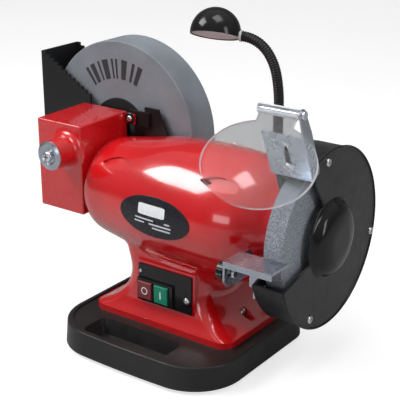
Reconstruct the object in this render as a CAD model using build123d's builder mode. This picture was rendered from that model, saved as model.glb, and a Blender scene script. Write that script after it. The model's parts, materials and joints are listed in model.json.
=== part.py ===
"""Combined dry and wet bench grinder, built as separate pieces.

Millimetres.  X runs along the motor shaft towards the dry wheel, -Y is the operator's side, +Z is up.
The origin is on the resting surface, below the motor shaft, at the centre of the four feet.
"""
from build123d import *
from math import atan2, cos, degrees, radians, sin, sqrt, pi
import os

os.makedirs("parts", exist_ok=True)

# ---------------------------------------------------------------- driving dimensions
AXIS_Z = 149.0            # height of the motor shaft
WALL = 3.0                # casting and moulding wall
PIN_CLEARANCE = 0.05      # radial running clearance of shafts and pins

DRY_RADIUS, DRY_BORE, DRY_X0, DRY_WIDTH = 75.0, 6.35, 137.0, 20.0
WET_RADIUS, WET_BORE, WET_Y0, WET_WIDTH = 100.0, 10.0, 44.0, 40.0
WET_X, WET_Z = -128.5, 193.0

BASE_X, BASE_FRONT, BASE_BACK = 105.0, -117.0, 75.0
FRONT_BOW, FRONT_CORNER, BACK_CORNER = 5.0, 54.0, 30.0
SKIRT_Z0, RIM_Z, DECK_Z = 4.0, 29.0, 27.5
FOOT_X, FOOT_Y, FOOT_HOLE = 83.0, 56.0, 3.25

FLANGE_X, FLANGE_Y, FLANGE_TOP = 87.5, 58.5, 36.0
SEAM_Y = 20.0             # joint between the front and rear housing shells
SCOOP_X, SCOOP_Y = -22.0, 34.0   # the rear of the housing is flat here, where the water tank passes

BOX_X0, BOX_X1, BOX_Y0, BOX_Y1, BOX_Z0, BOX_Z1 = -170.0, -109.0, -44.5, 31.5, 123.0, 221.0
BOX_WALL = 2.5
BOSS_R, BOSS_Y = 15.0, -70.0

GEAR_TEETH, WORM_MODULE, SPUR_MODULE = 22, 1.4, 1.25
WORM_PITCH_R, WORM_GEAR_R = 9.0, GEAR_TEETH * WORM_MODULE / 2
SPUR_R = GEAR_TEETH * SPUR_MODULE / 2
LEAD = pi * WORM_MODULE   # single-start worm: one tooth a turn
IDLER_Z = AXIS_Z + WORM_PITCH_R + WORM_GEAR_R
IDLER_X = WET_X - sqrt((2 * SPUR_R) ** 2 - (WET_Z - IDLER_Z) ** 2)
ADDENDUM, DEDENDUM, TOOTH_FLARE = 1.05, 1.45, 0.36

TANK_R, TANK_WALL, TANK_Y0, TANK_Y1 = 110.0, 2.6, 36.5, 97.0
TANK_TOP, TANK_RIGHT_TOP, SLOT_HALF, SLOT_BOTTOM = 270.0, 227.0, 40.0, 150.0
SERRATIONS = 12

GUARD_R, GUARD_X0, GUARD_X1 = 88.0, 131.0, 163.0
COVER_T, DOME_R, DOME_H = 2.0, 40.0, 12.0
COVER_SCREWS = [(-13.0, 79.0), (81.0, -19.0), (-36.0, -71.0)]    # (y, z) from the shaft

SHAFT_R, JOURNAL_R = 8.5, 7.5
BEARING_R, BEARING_W = 17.5, 11.0
BEARING_XS = [-104.5, 113.0]
STATOR_R, STATOR_BORE, STATOR_X0, STATOR_X1 = 52.0, 27.5, 5.0, 57.0

SHIELD_HALF_W, SHIELD_HALF_H, SHIELD_T = 56.8, 40.1, 3.0
SHIELD_CENTRE_X, SHIELD_DROP, SHIELD_LEAN = 147.3, 50.9, 39.4
HINGE_Y, HINGE_Z, HINGE_X0, HINGE_X1 = -72.0, 287.0, 128.0, 169.5
HINGE_ROD_R = 2.0
DEFLECTOR_X, DEFLECTOR_Y, DEFLECTOR_Z = 150.5, -51.5, 221.5      # middle of its lower edge
DEFLECTOR_W, DEFLECTOR_L, DEFLECTOR_LEAN, SHEET = 43.0, 47.3, 23.0, 1.8

REST_X0, REST_X1, REST_Y0, REST_Y1, REST_TOP = 114.0, 165.0, -106.0, -77.5, 149.5
KNOB_Y, KNOB_Z = -93.0, 134.0
GUIDE_Y = -77.0

PANEL_X0, PANEL_X1, PANEL_Z0, PANEL_Z1, PANEL_Y = -28.0, 39.0, 51.0, 92.0, -52.5
BUTTON_W, BUTTON_H, BUTTON_GAP, BUTTON_XS, BUTTON_Z = 17.0, 19.0, 0.4, [-17.0, 3.5], 65.0
BIG_SCREW_X, BIG_SCREW_Z, SMALL_SCREW_X, SMALL_SCREW_Z = PANEL_X1 - 5, 66.0, PANEL_X0 + 3, 84.0

LAMP_X, LAMP_Y, LAMP_FOOT_Z, NECK_R = 85.0, 30.0, 216.0, 5.25
LEAN_Z, BEND_Z = 223.0, 258.0
NECK_ARCS = [(150.0, 12.0), (55.0, 23.0), (34.0, 53.0)]          # radius, turn
LAMP_TURN = 193.0                                                # heading of the neck, degrees
SHADE_R, SHADE_T = 25.0, 1.4
SHADE_AXIS = (0.10, -0.354, -0.926)

SHAFT_AXIS = Axis((0, 0, AXIS_Z), (1, 0, 0))
WET_AXIS = Axis((WET_X, 0, WET_Z), (0, 1, 0))
SHAFT_PROFILE = Plane(origin=(0, 0, AXIS_Z), x_dir=(1, 0, 0), z_dir=(0, -1, 0))
WET_PROFILE = Plane(origin=(WET_X, 0, WET_Z), x_dir=(0, 1, 0), z_dir=(1, 0, 0))
DEFLECTOR = Plane(
    origin=(DEFLECTOR_X, DEFLECTOR_Y, DEFLECTOR_Z), x_dir=(1, 0, 0),
    z_dir=(0, -cos(radians(DEFLECTOR_LEAN)), -sin(radians(DEFLECTOR_LEAN))))
SHIELD = Plane(
    origin=(SHIELD_CENTRE_X, HINGE_Y, HINGE_Z), x_dir=(1, 0, 0),
    z_dir=(0, -cos(radians(SHIELD_LEAN)), sin(radians(SHIELD_LEAN))))
NECK = Plane(
    origin=(LAMP_X, LAMP_Y, 0),
    x_dir=(cos(radians(LAMP_TURN)), sin(radians(LAMP_TURN)), 0),
    z_dir=(sin(radians(LAMP_TURN)), -cos(radians(LAMP_TURN)), 0))


# ---------------------------------------------------------------- shared shapes
def tube_x(x0, x1, outer, inner=0.0, y=0.0, z=AXIS_Z):
    """A disc or ring whose axis runs along X."""
    with BuildPart() as ring:
        with BuildSketch(Plane.YZ.offset(x0)):
            with Locations((y, z)):
                Circle(outer)
                if inner:
                    Circle(inner, mode=Mode.SUBTRACT)
        extrude(amount=x1 - x0)
    return ring.part


def tube_y(y0, y1, outer, inner=0.0, x=WET_X, z=WET_Z):
    """A disc or ring whose axis runs along Y."""
    with BuildPart() as ring:
        with BuildSketch(Plane.XZ.offset(-y1)):
            with Locations((x, z)):
                Circle(outer)
                if inner:
                    Circle(inner, mode=Mode.SUBTRACT)
        extrude(amount=y1 - y0)
    return ring.part


def tube_z(x, y, z0, z1, outer, inner=0.0):
    """A disc or ring whose axis runs along Z."""
    with BuildPart() as ring:
        with BuildSketch(Plane.XY.offset(z0)):
            with Locations((x, y)):
                Circle(outer)
                if inner:
                    Circle(inner, mode=Mode.SUBTRACT)
        extrude(amount=z1 - z0)
    return ring.part


def block(x0, x1, y0, y1, z0, z1):
    """A rectangular block between two corners."""
    with BuildPart() as box:
        with BuildSketch(Plane.XY.offset(z0)):
            with Locations(((x0 + x1) / 2, (y0 + y1) / 2)):
                Rectangle(x1 - x0, y1 - y0)
        extrude(amount=z1 - z0)
    return box.part


def pan_screw(head_r, head_h, shank_r, shank_l):
    """A cross-recess pan-head screw: head above its own XY plane, shank below."""
    with BuildPart() as screw:
        Cylinder(head_r, head_h, align=(Align.CENTER, Align.CENTER, Align.MIN))
        fillet(screw.edges().group_by(Axis.Z)[-1], head_h * 0.6)
        Cylinder(shank_r, shank_l, align=(Align.CENTER, Align.CENTER, Align.MAX))
        with BuildSketch(Plane.XY.offset(head_h)):
            Rectangle(head_r * 1.15, head_r * 0.26)
            Rectangle(head_r * 0.26, head_r * 1.15)
        extrude(amount=-head_h * 0.6, mode=Mode.SUBTRACT)
    return screw.part


def outward_x(x, y, z, side=1):
    """A plane facing +X (or -X), for a fastener seen from that side."""
    return Plane(origin=(x, y, z), x_dir=(0, side, 0), z_dir=(side, 0, 0))


def outward_y(x, y, z, side=-1):
    """A plane facing -Y (or +Y)."""
    return Plane(origin=(x, y, z), x_dir=(-side, 0, 0), z_dir=(0, side, 0))


# ---------------------------------------------------------------- base
def base_outline(inset, z):
    """The base seen from above, with a gently bowed front edge."""
    x, front, back = BASE_X - inset, BASE_FRONT + inset, BASE_BACK - inset
    with BuildSketch(Plane.XY.offset(z)) as outline:
        with BuildLine():
            Line((-x, front + FRONT_BOW), (-x, back))
            Line((-x, back), (x, back))
            Line((x, back), (x, front + FRONT_BOW))
            ThreePointArc((x, front + FRONT_BOW), (0, front), (-x, front + FRONT_BOW))
        make_face()
        fillet(outline.vertices().group_by(Axis.Y)[0], FRONT_CORNER - inset)
        fillet(outline.vertices().group_by(Axis.Y)[-1], BACK_CORNER - inset)
    return outline.sketch


TRAY = (-62.0, 42.0, -106.0, -70.0)
TRAY_FLOOR, TRAY_CORNER = 11.0, 8.0
FOOT_R, FOOT_SOLE_R, FOOT_POST_R = 11.0, 9.6, 11.0
FOOT_POINTS = [(-FOOT_X, -FOOT_Y), (FOOT_X, -FOOT_Y), (-FOOT_X, FOOT_Y), (FOOT_X, FOOT_Y)]
tray_mid = ((TRAY[0] + TRAY[1]) / 2, (TRAY[2] + TRAY[3]) / 2)
base_bottom, base_top = base_outline(0, SKIRT_Z0), base_outline(2.0, RIM_Z)
base_rim, base_cavity = base_outline(7.5, DECK_Z), base_outline(WALL + 2, SKIRT_Z0)

with BuildPart() as base_plate:
    add(base_bottom)
    add(base_top)
    loft()
    fillet(base_plate.edges().group_by(Axis.Z)[-1], 2.0)
    add(base_rim)
    extrude(amount=RIM_Z, mode=Mode.SUBTRACT)
    add(base_cavity)
    extrude(amount=DECK_Z - WALL - SKIRT_Z0, mode=Mode.SUBTRACT)
    with BuildSketch(Plane.XY.offset(TRAY_FLOOR - WALL)):
        with Locations(tray_mid):
            RectangleRounded(TRAY[1] - TRAY[0] + 2 * WALL, TRAY[3] - TRAY[2] + 2 * WALL, TRAY_CORNER)
    extrude(amount=DECK_Z - TRAY_FLOOR + WALL)
    with Locations(*[(x, y, SKIRT_Z0 + 1) for x, y in FOOT_POINTS]):
        Cylinder(FOOT_POST_R, DECK_Z - SKIRT_Z0 - 1, align=(Align.CENTER, Align.CENTER, Align.MIN))
        Cylinder(FOOT_HOLE, 40, align=(Align.CENTER, Align.CENTER, Align.CENTER), mode=Mode.SUBTRACT)
    with BuildSketch(Plane.XY.offset(TRAY_FLOOR)):
        with Locations((tray_mid[0], tray_mid[1] + 1.5)):
            RectangleRounded(TRAY[1] - TRAY[0] - 8, TRAY[3] - TRAY[2] - 12, 4)
    with BuildSketch(Plane.XY.offset(DECK_Z)):
        with Locations(tray_mid):
            RectangleRounded(TRAY[1] - TRAY[0], TRAY[3] - TRAY[2], TRAY_CORNER)
    loft(mode=Mode.SUBTRACT)
base_plate.part.label = "base_plate"
export_step(base_plate.part, "parts/base_plate.step")

with BuildPart() as base_feet:
    with Locations(*[(x, y, 0) for x, y in FOOT_POINTS]):
        Cone(FOOT_SOLE_R, FOOT_R, SKIRT_Z0 + 1, align=(Align.CENTER, Align.CENTER, Align.MIN))
        Cylinder(FOOT_HOLE, 40, mode=Mode.SUBTRACT)
base_feet.part.label = "base_feet"
export_step(base_feet.part, "parts/base_feet.step")


# ---------------------------------------------------------------- motor housing
BARREL = [(-109, 42), (-104, 47.5), (-84, 54), (-50, 60), (-18, 65.5), (20, 67.5), (55, 67.5),
          (86, 62.5), (105, 51), (117, 42), (131, 39.5)]
NECK_SECTIONS = [(FLANGE_TOP - 2, 86.0, 57.5, 13), (39, 76.0, 54.5, 13), (46, 65.5, 51.5, 14),
                 (57, 56.0, 49.0, 15), (70, 50.5, 47.5, 16), (84, 50.0, 47.0, 16), (98, 53.0, 47.5, 16),
                 (112, 57.0, 48.0, 16)]


def barrel_solid(inset):
    """The bulged barrel round the motor, or with an inset its inner space."""
    points = [(x, r - inset) for x, r in BARREL]
    points[0] = (BARREL[0][0] + inset, BARREL[0][1] - inset)
    points[-1] = (BARREL[-1][0] - inset, BARREL[-1][1] - inset)
    with BuildPart() as barrel:
        with BuildSketch(SHAFT_PROFILE):
            with BuildLine():
                Spline(*points)
                Polyline(points[-1], (points[-1][0], 0), (points[0][0], 0), points[0])
            make_face()
        revolve(axis=SHAFT_AXIS)
    return barrel.part


def neck_solid(inset):
    """The waisted neck and its foot flange, or with an inset the space inside them."""
    with BuildPart() as neck:
        for z, x, y, corner in NECK_SECTIONS:
            with BuildSketch(Plane.XY.offset(z)):
                RectangleRounded(2 * (x - inset), 2 * (y - inset), corner - inset)
        loft()
        with BuildSketch(Plane.XY.offset(DECK_Z)):
            RectangleRounded(2 * (FLANGE_X - inset), 2 * (FLANGE_Y - inset), 14 - inset)
        extrude(amount=FLANGE_TOP - DECK_Z - 2 + 0.01)
    return neck.part


def scoop(inset):
    """The space behind the housing that the tank and wet wheel pass through."""
    return block(-160, SCOOP_X + inset, SCOOP_Y - inset, 120, 60, 240)


barrel_outer, barrel_inner = barrel_solid(0), barrel_solid(WALL)
neck_outer, neck_inner = neck_solid(0), neck_solid(WALL)

CREASE_R = 16.0              # blend where the barrel swells out of the neck
with BuildPart() as housing_outer:
    add(barrel_outer)
    add(neck_outer)
    joins = housing_outer.edges().filter_by(GeomType.BSPLINE).filter_by_position(Axis.Z, 75, 115)
    fillet(joins.filter_by_position(Axis.X, -60, 60), CREASE_R)
    add(block(PANEL_X0 - 3, PANEL_X1 + 3, -50.5, -40, PANEL_Z0 - 3, PANEL_Z1 + 3))
    add(scoop(0), mode=Mode.SUBTRACT)

with BuildPart() as housing_void:
    add(barrel_inner)
    add(neck_inner)
    add(scoop(WALL), mode=Mode.SUBTRACT)
    add(block(-200, 200, -200, SEAM_Y + 60, 0, DECK_Z), mode=Mode.SUBTRACT)


# vents, fastener recesses, the lamp and shaft passages, and ribs that grip the stator
# eye-shaped front recesses: middle x, barrel radius there, length, lean of the floor, depth
VENTS = [(-63.0, 57.6, 42.0, 10.0, 2.2), (70.0, 65.4, 46.0, -4.5, 2.2)]
VENT_TILT, VENT_HALF_H, VENT_BACKING = 45.0, 7.5, 2.6
SIDE_RECESS_Z, SIDE_RECESS_R = 42.0, 6.0
SIDE_FLOOR_X, SIDE_MOUTH_X, SIDE_PAD_X, SIDE_HOLE_R = 65.0, 80.0, 60.0, 2.2
TAPPED_R, CLEARANCE_R = 2.15, 2.2        # holes for the 4.2 mm screws
SEAM_BOSSES = [(-40, 60), (40, 60), (-85, 114), (-60, 188), (92, 114), (92, 186), (34, 208.5)]
rear_slots = [(x, 175.0 - 9 * row) for x in (5.0, 30.0, 55.0) for row in range(6)]


def vent_plane(x, radius, lean):
    """A plane on the upper front of the barrel that faces outwards and leans with its slope."""
    tilt, slope = radians(VENT_TILT), radians(lean)
    out = (0, -cos(tilt), sin(tilt))
    return Plane(origin=(x, radius * out[1], AXIS_Z + radius * out[2]),
                 x_dir=(cos(slope), sin(slope) * out[1], sin(slope) * out[2]),
                 z_dir=(-sin(slope), cos(slope) * out[1], cos(slope) * out[2]))


def eye(vent, length, height, depth, shift=0.0, top=20.0):
    """An eye-shaped prism on a recess's plane, from top above it to depth below."""
    x, radius, lean = vent[0], vent[1], vent[3]
    with BuildPart() as cutter:
        with BuildSketch(vent_plane(x, radius, lean).offset(top)):
            with BuildLine():
                ThreePointArc((shift - length / 2, 0), (shift, height), (shift + length / 2, 0))
                ThreePointArc((shift + length / 2, 0), (shift, -height), (shift - length / 2, 0))
            make_face()
        extrude(amount=-top - depth)
    return cutter.part


vent_cutters = [eye(vent, vent[2], VENT_HALF_H, vent[4]) for vent in VENTS]
vent_backs = [eye(vent, vent[2] + 8, VENT_HALF_H + 3, vent[4] + VENT_BACKING, top=2) for vent in VENTS]
vent_slots = [eye(VENTS[1], 13, 2.6, 14, shift=-VENTS[1][2] / 2 + 6)]
rib_rings = [tube_x(x, x + 4, 66, STATOR_R) for x in (STATOR_X0 + 3, STATOR_X1 - 7)]
passages = [tube_x(-112, -100, 10), tube_x(120, 135, 10),
            tube_z(LAMP_X, LAMP_Y, 190, 225, 6.0),
            block(PANEL_X0 + 6, PANEL_X1 - 16, -60, -40, PANEL_Z0 + 5, PANEL_Z0 + 25)]
panel_holes = [tube_y(-60, -40, 1.5, x=BIG_SCREW_X, z=BIG_SCREW_Z),
               tube_y(-60, -40, 1.2, x=SMALL_SCREW_X, z=SMALL_SCREW_Z)]
side_recesses, side_backs, side_holes = [], [], []
for side in (1, -1):
    floor_x, mouth_x, pad_x = side * SIDE_FLOOR_X, side * SIDE_MOUTH_X, side * SIDE_PAD_X
    low_x, high_x = min(floor_x, mouth_x), max(floor_x, mouth_x)
    side_recesses.append(tube_x(low_x, high_x, SIDE_RECESS_R, y=0, z=SIDE_RECESS_Z))
    low_x, high_x = min(pad_x, mouth_x), max(pad_x, mouth_x)
    side_backs.append(tube_x(low_x, high_x, SIDE_RECESS_R + WALL, y=0, z=SIDE_RECESS_Z))
    side_holes.append(tube_x(low_x, high_x, SIDE_HOLE_R, y=0, z=SIDE_RECESS_Z))
GUARD_BOLT_RING = 30.0
guard_bolts = []
for number in range(3):
    angle = radians(120 * number - 90)
    guard_bolts.append((GUARD_BOLT_RING * cos(angle), AXIS_Z + GUARD_BOLT_RING * sin(angle)))
guard_bolt_holes = [tube_x(125, 135, CLEARANCE_R, y=y, z=z) for y, z in guard_bolts]
seam_holes = [tube_y(10, 120, 1.7, x=x, z=z) for x, z in SEAM_BOSSES]
seam_sinks = [tube_y(SEAM_Y + 10, 120, 4.2, x=x, z=z) for x, z in SEAM_BOSSES]
seam_posts = [tube_y(-70, 70, 5.5, x=x, z=z) for x, z in SEAM_BOSSES]
GLAND_X, GLAND_Z, GLAND_R, GLAND_BORE = 0.0, 52.0, 6.4, 3.6
GLAND_Y0, GLAND_Y1 = 43.0, 66.5
gland_hole = tube_y(40, 70, GLAND_R + 0.1, x=GLAND_X, z=GLAND_Z)

with BuildPart() as post_stock:
    for post in seam_posts + rib_rings + vent_backs + side_backs:
        add(post)
    add(housing_void.part, mode=Mode.INTERSECT)

with BuildPart() as housing:
    add(housing_outer.part)
    add(housing_void.part, mode=Mode.SUBTRACT)
    add(post_stock.part)
    for cutter in vent_cutters + vent_slots + passages + panel_holes + side_recesses + side_holes:
        add(cutter, mode=Mode.SUBTRACT)
    for cutter in seam_holes + seam_sinks + guard_bolt_holes + [gland_hole]:
        add(cutter, mode=Mode.SUBTRACT)
    for x, z in rear_slots:
        add(block(x - 9, x + 9, 30, 90, z - 2, z + 2), mode=Mode.SUBTRACT)

SEAM = Plane(origin=(0, SEAM_Y, 0), x_dir=(1, 0, 0), z_dir=(0, 1, 0))
with BuildPart() as housing_front:
    add(housing.part)
    split(bisect_by=SEAM, keep=Keep.BOTTOM)
housing_front.part.label = "housing_front"
export_step(housing_front.part, "parts/housing_front.step")

with BuildPart() as housing_rear:
    add(housing.part)
    split(bisect_by=SEAM, keep=Keep.TOP)
housing_rear.part.label = "housing_rear"
export_step(housing_rear.part, "parts/housing_rear.step")

seam_screw = pan_screw(3.4, 2.2, 1.6, 14)
with BuildPart() as housing_screws:
    with Locations(*[outward_y(x, SEAM_Y + 10, z, 1) for x, z in SEAM_BOSSES]):
        add(seam_screw)
housing_screws.part.label = "housing_screws"
export_step(housing_screws.part, "parts/housing_screws.step")

foot_screw = pan_screw(4.2, 3.0, 2.1, 9)
with BuildPart() as base_screws:
    with Locations(outward_x(SIDE_FLOOR_X, 0, SIDE_RECESS_Z), outward_x(-SIDE_FLOOR_X, 0, SIDE_RECESS_Z, -1)):
        add(foot_screw)
base_screws.part.label = "base_screws"
export_step(base_screws.part, "parts/base_screws.step")

# an oval rating plate that follows the barrel
PLATE_X, PLATE_Z, PLATE_HALF_W, PLATE_HALF_H, PLATE_T = 3.0, 153.0, 45.0, 20.5, 0.8
plate_skin = barrel_solid(-PLATE_T)
with BuildPart() as name_plate:
    with BuildSketch(Plane(origin=(PLATE_X, -30, PLATE_Z), x_dir=(1, 0, 0), z_dir=(0, -1, 0))):
        Ellipse(PLATE_HALF_W, PLATE_HALF_H)
    extrude(amount=60)
    add(plate_skin, mode=Mode.INTERSECT)
    add(barrel_outer, mode=Mode.SUBTRACT)
name_plate.part.label = "name_plate"
export_step(name_plate.part, "parts/name_plate.step")

# ---------------------------------------------------------------- motor
BRACKETS = [(-105.9, -92.0, -105.9, 38.0), (105.0, 124.0, 119.0, 36.2)]     # hub ends, web start, radius
with BuildPart() as end_brackets:
    for index, (x0, x1, web_x, web_r) in enumerate(BRACKETS):
        add(tube_x(x0, x1, 24))
        add(tube_x(web_x, web_x + 5, web_r))
        add(tube_x(BEARING_XS[index], BEARING_XS[index] + BEARING_W, BEARING_R), mode=Mode.SUBTRACT)
        add(tube_x(x0 - 1, x1 + 1, 11), mode=Mode.SUBTRACT)
        for y, z in guard_bolts:
            add(tube_x(x0 - 1, x1 + 1, TAPPED_R, y=y, z=z), mode=Mode.SUBTRACT)
            add(tube_x(x0 - 1, x1 + 1, 3.2, y=-y, z=2 * AXIS_Z - z), mode=Mode.SUBTRACT)
    add(block(-110, -90, SCOOP_Y - WALL - 0.1, 60, 80, 220), mode=Mode.SUBTRACT)
end_brackets.part.label = "end_brackets"
export_step(end_brackets.part, "parts/end_brackets.step")

with BuildPart() as bearing_outer_races:
    for x in BEARING_XS:
        add(tube_x(x, x + BEARING_W, BEARING_R, 14.2))
bearing_outer_races.part.label = "bearing_outer_races"
export_step(bearing_outer_races.part, "parts/bearing_outer_races.step")

with BuildPart() as bearing_inner_races:
    for x in BEARING_XS:
        add(tube_x(x, x + BEARING_W, 10.4, JOURNAL_R))
bearing_inner_races.part.label = "bearing_inner_races"
export_step(bearing_inner_races.part, "parts/bearing_inner_races.step")

BALL_R, BALL_RING_R, BALL_COUNT = 1.8, 12.3, 9
ball_places = []
for x in BEARING_XS:
    for number in range(BALL_COUNT):
        angle = 2 * pi * number / BALL_COUNT
        ball_places.append((x + BEARING_W / 2, BALL_RING_R * cos(angle), AXIS_Z + BALL_RING_R * sin(angle)))
with BuildPart() as bearing_balls:
    with Locations(*ball_places):
        Sphere(BALL_R)
bearing_balls.part.label = "bearing_balls"
export_step(bearing_balls.part, "parts/bearing_balls.step")

SLOT_COUNT, SLOT_WIDTH, SLOT_DEPTH = 24, 3.4, 15.0
with BuildPart() as stator_core:
    with BuildSketch(Plane.YZ.offset(STATOR_X0)):
        with Locations((0, AXIS_Z)):
            Circle(STATOR_R - 0.05)
            Circle(STATOR_BORE, mode=Mode.SUBTRACT)
            with PolarLocations(STATOR_BORE + 1.5 + SLOT_DEPTH / 2, SLOT_COUNT):
                Rectangle(SLOT_DEPTH, SLOT_WIDTH, mode=Mode.SUBTRACT)
    extrude(amount=STATOR_X1 - STATOR_X0)
stator_core.part.label = "stator_core"
export_step(stator_core.part, "parts/stator_core.step")

WINDING_OVERHANG = 14.0
with BuildPart() as stator_windings:
    with BuildSketch(Plane.YZ.offset(STATOR_X0)):
        with Locations((0, AXIS_Z)):
            with PolarLocations(STATOR_BORE + 1.5 + SLOT_DEPTH / 2, SLOT_COUNT):
                Rectangle(SLOT_DEPTH - 0.4, SLOT_WIDTH - 0.4)
    extrude(amount=STATOR_X1 - STATOR_X0)
    for x0 in (STATOR_X0 - WINDING_OVERHANG, STATOR_X1):
        with BuildSketch(Plane.YZ.offset(x0)):
            with Locations((0, AXIS_Z)):
                Circle(STATOR_BORE + 1.5 + SLOT_DEPTH)
                Circle(STATOR_BORE + 1.5, mode=Mode.SUBTRACT)
        extrude(amount=WINDING_OVERHANG)
stator_windings.part.label = "stator_windings"
export_step(stator_windings.part, "parts/stator_windings.step")

with BuildPart() as rotor_core:
    with BuildSketch(SHAFT_PROFILE):
        with BuildLine():
            Polyline((STATOR_X0 - 5, SHAFT_R), (STATOR_X0 - 5, 24), (STATOR_X0, 24),
                     (STATOR_X0, STATOR_BORE - 0.5), (STATOR_X1, STATOR_BORE - 0.5), (STATOR_X1, 24),
                     (STATOR_X1 + 5, 24), (STATOR_X1 + 5, SHAFT_R), close=True)
        make_face()
    revolve(axis=SHAFT_AXIS)
rotor_core.part.label = "rotor_core"
export_step(rotor_core.part, "parts/rotor_core.step")

WORM_BORE, STUD_R = 6.0, DRY_BORE - PIN_CLEARANCE
SHAFT_STEPS = [(-152, WORM_BORE), (-110, WORM_BORE), (-110, JOURNAL_R), (-92.5, JOURNAL_R),
               (-92.5, SHAFT_R), (112, SHAFT_R), (112, JOURNAL_R), (133.5, JOURNAL_R),
               (133.5, STUD_R), (171.5, STUD_R)]
with BuildPart() as motor_shaft:
    with BuildSketch(SHAFT_PROFILE):
        with BuildLine():
            Polyline((SHAFT_STEPS[0][0], 0), *SHAFT_STEPS, (SHAFT_STEPS[-1][0], 0), close=True)
        make_face()
    revolve(axis=SHAFT_AXIS)
motor_shaft.part.label = "motor_shaft"
export_step(motor_shaft.part, "parts/motor_shaft.step")

# ---------------------------------------------------------------- gearing
WORM_X0, WORM_X1, THREAD_TURNS = IDLER_X - 14.0, IDLER_X + 14.0, 5
worm_root, worm_tip, THREAD_HALF = WORM_PITCH_R - DEDENDUM, WORM_PITCH_R + ADDENDUM, 0.75
half_root = THREAD_HALF + TOOTH_FLARE * (DEDENDUM + 0.3)
half_tip = THREAD_HALF - TOOTH_FLARE * ADDENDUM
thread_x0 = IDLER_X - LEAD * THREAD_TURNS / 2
worm_core = tube_x(WORM_X0, WORM_X1, worm_root, WORM_BORE)
thread_line = Helix(LEAD, LEAD * THREAD_TURNS, worm_root, center=(thread_x0, 0, AXIS_Z), direction=(1, 0, 0))
thread_start = thread_line @ 0
thread_radial = Vector(0, thread_start.Y, thread_start.Z - AXIS_Z).normalized()
with BuildPart() as worm_thread:
    with BuildSketch(Plane(origin=thread_start, x_dir=thread_radial, z_dir=thread_line % 0)):
        with BuildLine():
            Polyline((-0.3, half_root), (worm_tip - worm_root, half_tip), (worm_tip - worm_root, -half_tip),
                     (-0.3, -half_root), close=True)
        make_face()
    sweep(path=thread_line, is_frenet=True)
# turn the thread so that a groove, not a ridge, faces straight up below the gear
thread_angle = degrees(atan2(thread_radial.Z, thread_radial.Y))
groove_turn = 90.0 - thread_angle + 180.0 * (1 - THREAD_TURNS % 2)
turned_thread = worm_thread.part.rotate(SHAFT_AXIS, groove_turn)
with BuildPart() as worm:
    add(worm_core)
    add(turned_thread)
worm.part.label = "worm"
export_step(worm.part, "parts/worm.step")


def gear(x, z, y0, y1, pitch_r, half_tooth, phase, bore):
    """A gear of GEAR_TEETH straight-flanked teeth; one tooth points along phase, in degrees from +X."""
    root, tip = pitch_r - DEDENDUM, pitch_r + ADDENDUM
    half_foot, half_crest = half_tooth + TOOTH_FLARE * DEDENDUM, half_tooth - TOOTH_FLARE * ADDENDUM
    with BuildPart() as wheel:
        with BuildSketch(Plane(origin=(x, y1, z), x_dir=(1, 0, 0), z_dir=(0, -1, 0))):
            Circle(root + 0.1)
            with PolarLocations(0, GEAR_TEETH, start_angle=phase):
                Polygon((root - 0.3, half_foot), (tip, half_crest), (tip, -half_crest),
                        (root - 0.3, -half_foot), align=None)
            Circle(bore, mode=Mode.SUBTRACT)
        extrude(amount=y1 - y0)
    return wheel.part


WET_SHAFT_R, IDLER_PIN_R, SPUR_HALF_TOOTH = 7.0, 4.0, 0.8
IDLER_BORE = IDLER_PIN_R + PIN_CLEARANCE
line_angle = degrees(atan2(WET_Z - IDLER_Z, WET_X - IDLER_X))
worm_gear = gear(IDLER_X, IDLER_Z, -4, 4, WORM_GEAR_R, THREAD_HALF, -90, IDLER_BORE)
idler_spur = gear(IDLER_X, IDLER_Z, 9, 18, SPUR_R, SPUR_HALF_TOOTH, line_angle, IDLER_BORE)
with BuildPart() as idler_gear:
    add(worm_gear)
    add(idler_spur)
    add(tube_y(-8, 22, 8.5, IDLER_BORE, x=IDLER_X, z=IDLER_Z))
idler_gear.part.label = "idler_gear"
export_step(idler_gear.part, "parts/idler_gear.step")

wet_phase = line_angle + 180 + 180 / GEAR_TEETH        # half a tooth on, so that the spurs mesh
wet_spur = gear(WET_X, WET_Z, 9, 18, SPUR_R, SPUR_HALF_TOOTH, wet_phase, WET_SHAFT_R)
with BuildPart() as wet_gear:
    add(wet_spur)
    add(tube_y(4, 22, 11, WET_SHAFT_R))
wet_gear.part.label = "wet_gear"
export_step(wet_gear.part, "parts/wet_gear.step")

PIN_Y0, PIN_Y1 = -36.0, BOX_Y1
with BuildPart() as idler_pin:
    add(tube_y(PIN_Y0, PIN_Y1, IDLER_PIN_R, x=IDLER_X, z=IDLER_Z))
idler_pin.part.label = "idler_pin"
export_step(idler_pin.part, "parts/idler_pin.step")

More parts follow.
